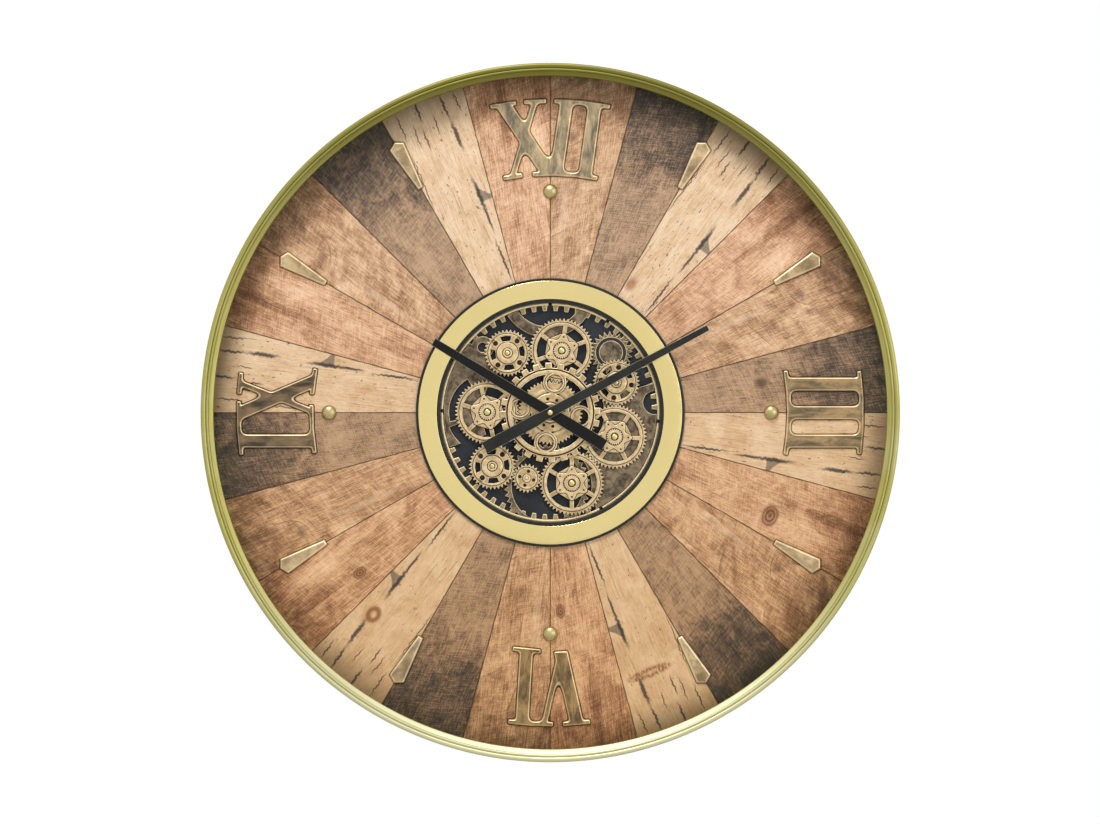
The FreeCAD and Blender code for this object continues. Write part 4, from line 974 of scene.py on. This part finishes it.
def star_detail(body, turn):
    """What sits on a star gear: a raised rim, the star plate, and a small pinion with a collar."""
    centre = HUBS[body]
    bore = circle(4.1, centre, 32, hole=True)
    plate = [star(20.0, 13.4, 6, turn, centre), bore]
    shade = [star(21.0, 14.4, 6, turn, centre), bore]
    pinion = [toothed(9.3, 7.7, 22, turn, centre), bore]
    shells = [
        ring(29.9, 32.2, SUNK, RAISED, centre, 128),
        *stamped(plate, SUNK, 32.72, 0.4, 0.2, arc=3),
        *stamped(pinion, 32.5, 33.9, 0.3, 0.3, 0.1, 0.1, arc=3),
        ring(4.7, 6.6, 33.6, 34.2, centre, 48, 0.2),
    ]
    piece(body + "_star", shells, FINE, body)
    # Painted shade: dark grooves, a dark sheet under the star plate as its shadow, and dark discs
    # for its holes
    dark = [
        groove(32.1, 33.0, SHADE, centre, 128),
        *stamped(shade, 32.3, 32.52, 0.05, 0.05, arc=2),
        groove(4.1, 4.8, 33.96, centre, 48),
        groove(6.0, 10.1, 32.78, centre, 64),
        *[pit(1.45, 32.6, spot(15.8, turn + k * 60, centre), 20) for k in range(6)],
    ]
    piece(body + "_shade", dark, RECESS_SHADE, body)


def hole_detail(body, turn):
    """What sits on a hole gear: a raised rim, a stepped hub with rivets, and dark grooves and round
    holes of painted shade.
    """
    centre = HUBS[body]
    holes = [spot(17.7, turn + k * 90, centre) for k in range(4)]
    shells = [
        ring(20.6, 22.2, SUNK, RAISED, centre),
        ring(6.2, 12.2, SUNK, 32.75, centre, 64, 0.2),
        ring(3.4, 5.3, SUNK, 34.2, centre, 40, 0.35),
        *[rivet(0.85, 32.6, spot(9.9, turn + 22.5 + k * 45, centre), 12) for k in range(8)],
        *[ring(3.4, 4.5, SUNK, RAISED, hole, 32) for hole in holes],
    ]
    piece(body + "_hub", shells, FINE, body)
    dark = [
        groove(22.2, 23.0, SHADE, centre),
        groove(12.2, 13.1, SHADE, centre, 64),
        groove(2.4, 6.3, 32.7, centre, 48),
        *[pit(3.5, 32.3, hole, 32) for hole in holes],
    ]
    piece(body + "_shade", dark, RECESS_SHADE, body)


def pinion_detail():
    """What sits on the pinion: a raised rim, a collar with a boss, and four dark holes and two dark
    grooves of painted shade.
    """
    centre = HUBS["pinion"]
    shells = [
        ring(10.6, 12.2, SUNK, RAISED, centre, 64),
        ring(2.4, 4.4, SUNK, 33.4, centre, 40, 0.3),
        turned(dome(2.0, 32.6, 0.6, 0.9), 24, centre),
    ]
    piece("pinion_collar", shells, FINE, "pinion")
    dark = [
        *[pit(2.4, 32.3, spot(8.2, 14.5 + k * 90, centre), 28) for k in range(4)],
        groove(12.2, 13.0, SHADE, centre, 64),
        groove(4.4, 5.1, SHADE, centre, 40),
    ]
    piece("pinion_shade", dark, RECESS_SHADE, "pinion")


def centre_detail():
    """The ring gear's rims and rivets, the dark holes by its hub and dark grooves, both painted
    shade, and the rings about the hands.
    """
    shells = [
        ring(45.4, 48.9, RING_SUNK, RING_RAISED, sides=192, rounding=0.2),
        ring(23.9, 27.3, SUNK, 32.9),
    ]
    dark = [
        groove(48.9, 50.6, RING_SHADE, sides=192),
        groove(11.4, 12.6, RING_SHADE, sides=80),
        groove(27.3, 28.4),
        groove(22.4, 23.9),
    ]
    for k in range(4):
        turn = 8.5 + 90 * k
        porthole = spot(35, turn)
        shells.append(ring(9.4, 11.0, RING_SUNK, RING_RAISED, porthole, 64, 0.2))
        dark.append(groove(11.0, 11.7, RING_SHADE, porthole, 64))
        dark += [pit(2.2, 35.7, spot(16, turn + lean), 24, 0.12) for lean in (-19, 19)]
    shells += [rivet(0.8, 35.7, spot(53.2, 5.5 + 15 * k), 10) for k in range(24)]
    shells.append(ring(8.2, 11.4, RING_SUNK, 37.0, sides=80, rounding=0.4))
    piece("ring_gear_rims", shells, FINE, "centre_gear")
    piece("ring_gear_shade", dark, RECESS_SHADE, "centre_gear")


STAR_TURNS = {"top_gear": 8.7, "left_gear": 46.5, "right_gear": 33.5, "bottom_gear": 0}
HOLE_TURNS = {"upper_gear": 38.5, "lower_gear": 40.7, "side_gear": 9}

# A cap on each fixed pin keeps its gear on, and clears the bore of the trim round it
CAP_BACK = 33.2
caps = []
for body, turn in STAR_TURNS.items():
    star_detail(body, turn)
    caps.append(turned(dome(3.6, CAP_BACK, 1.6, 0.9), 32, HUBS[body]))
for body, turn in HOLE_TURNS.items():
    hole_detail(body, turn)
    caps.append(turned(dome(2.8, CAP_BACK, 1.2, 0.4), 28, HUBS[body]))
piece("arbor_caps", caps, ARBOR, "case")
pinion_detail()
centre_detail()

# Screws at the back


def cross(half, width, centre):
    """An upright cross as an outline, anticlockwise. Its arms reach half and are 2 width wide."""
    turns = [np.array([(half, -width), (half, width), (width, width)])]
    for _ in range(3):
        turns.append(turns[-1][:, ::-1] * (-1, 1))
    return np.concatenate(turns) + centre


def screws(name, places, radius, face):
    """Round screw heads on a face turned to the wall, each with a cross cut in it, shown as a dark
    cross of painted shade.
    """
    head = dome(radius, face, height=-0.35 * radius, rim=-0.1 * radius, steps=6)
    heads = [turned(head, 24, place) for place in places]
    piece(name, heads, STEEL, "case")
    tip = face - 0.45 * radius
    cuts = []
    for place in places:
        outline = cross(0.55 * radius, 0.14 * radius, place)
        cuts += stamped([outline], tip - 0.03, tip + 0.2 * radius, 0.02, 0.02, arc=2)
    piece(name + "_slots", cuts, RECESS_SHADE, "case")


feet = [spot(385, 37.5 + 60 * k + lean) for k in range(6) for lean in (-0.95, 0.95)]
screws("bracket_screws", feet, radius=2.6, face=24.5)
corners = [(x, z) for x in (-140, 0, 140) for z in (-140, 0, 140) if (x, z) != AXIS]
screws("plate_screws", corners, radius=3.0, face=PLATE_BACK)
corners = [(x, z) for z in (20, -12) for x in (-24, 24)]
screws("works_screws", corners, radius=1.8, face=WORKS_BACK)
corners = [(x, z) for x in (-40, 1) for z in (-54, -105)]
screws("drive_screws", corners, radius=1.8, face=WORKS_BACK)

# Hands

for node, body, black in (("hour_hand", "hour", HOUR), ("minute_hand", "minute", HAND)):
    blade = dressed(node, shoulder=0.15, drop=0.2, round_out=0.4, round_in=0.4, arc=3)
    piece(node + "_blade", blade, black, body, [node])
nut = turned(dome(3.2, 45.6, 1.8, 1.4, 8), 40)
piece("hand_nut", [nut], ARBOR, "minute", ["cap_nut"])


# Studio


def floor():
    """A plain pale floor under the clock, well below the photograph's frame."""
    mesh = bpy.data.meshes.new("studio_floor")
    corners = [(-3, -3, -0.9), (3, -3, -0.9), (3, 3, -0.9), (-3, 3, -0.9)]
    mesh.from_pydata(corners, [], [(0, 1, 2, 3)])
    made = placed("studio_floor", mesh)
    mesh.materials.append(painted("pale_floor", (226, 225, 222), (220, 219, 216), 0.8, scale=0.01))


def lamp(name, place, size, power):
    """A large soft lamp aimed at the clock's middle."""
    light = bpy.data.lights.new(name, "AREA")
    light.shape = "DISK"
    light.size = size
    light.energy = power
    made = placed(name, light)
    made.location = place
    made.rotation_mode = "QUATERNION"
    made.rotation_quaternion = (-made.location).to_track_quat("-Z", "Y")


def surroundings():
    """White where the camera, metal and glass see it, and a softer light on everything else."""
    world = bpy.data.worlds.new("studio")
    bpy.context.scene.world = world
    sky = Graph(world)
    sky.tree.nodes.clear()
    path = sky.add("LightPath", {}).outputs
    seen = sky.apply("MAXIMUM", path["Is Camera Ray"], path["Is Transmission Ray"])
    seen = sky.apply("MAXIMUM", seen, path["Is Glossy Ray"])
    strength = sky.add("MapRange", {"Value": seen, "To Min": 0.6, "To Max": 1.0}).outputs[0]
    light = sky.add("Background", {"Color": (1, 1, 1, 1), "Strength": strength}).outputs[0]
    sky.add("OutputWorld", {"Surface": light})


floor()
surroundings()
lamp("key_lamp", (-0.5, -2.2, 2.9), size=1.1, power=84)
lamp("fill_lamp", (2.2, -3.0, 0.4), size=2.0, power=22)

# The camera takes in WIDTH metres at a distance of REACH metres
SENSOR, REACH, WIDTH = 36, 6, 1.262
camera = bpy.data.cameras.new("camera")
camera.sensor_width = SENSOR
camera.lens = SENSOR * REACH / WIDTH
viewer = placed("camera", camera)
viewer.location = (-0.0003, -6.05, 0.0007)
viewer.rotation_euler = (math.pi / 2, 0, 0)
bpy.context.scene.camera = viewer
bpy.context.scene.view_settings.view_transform = "Standard"
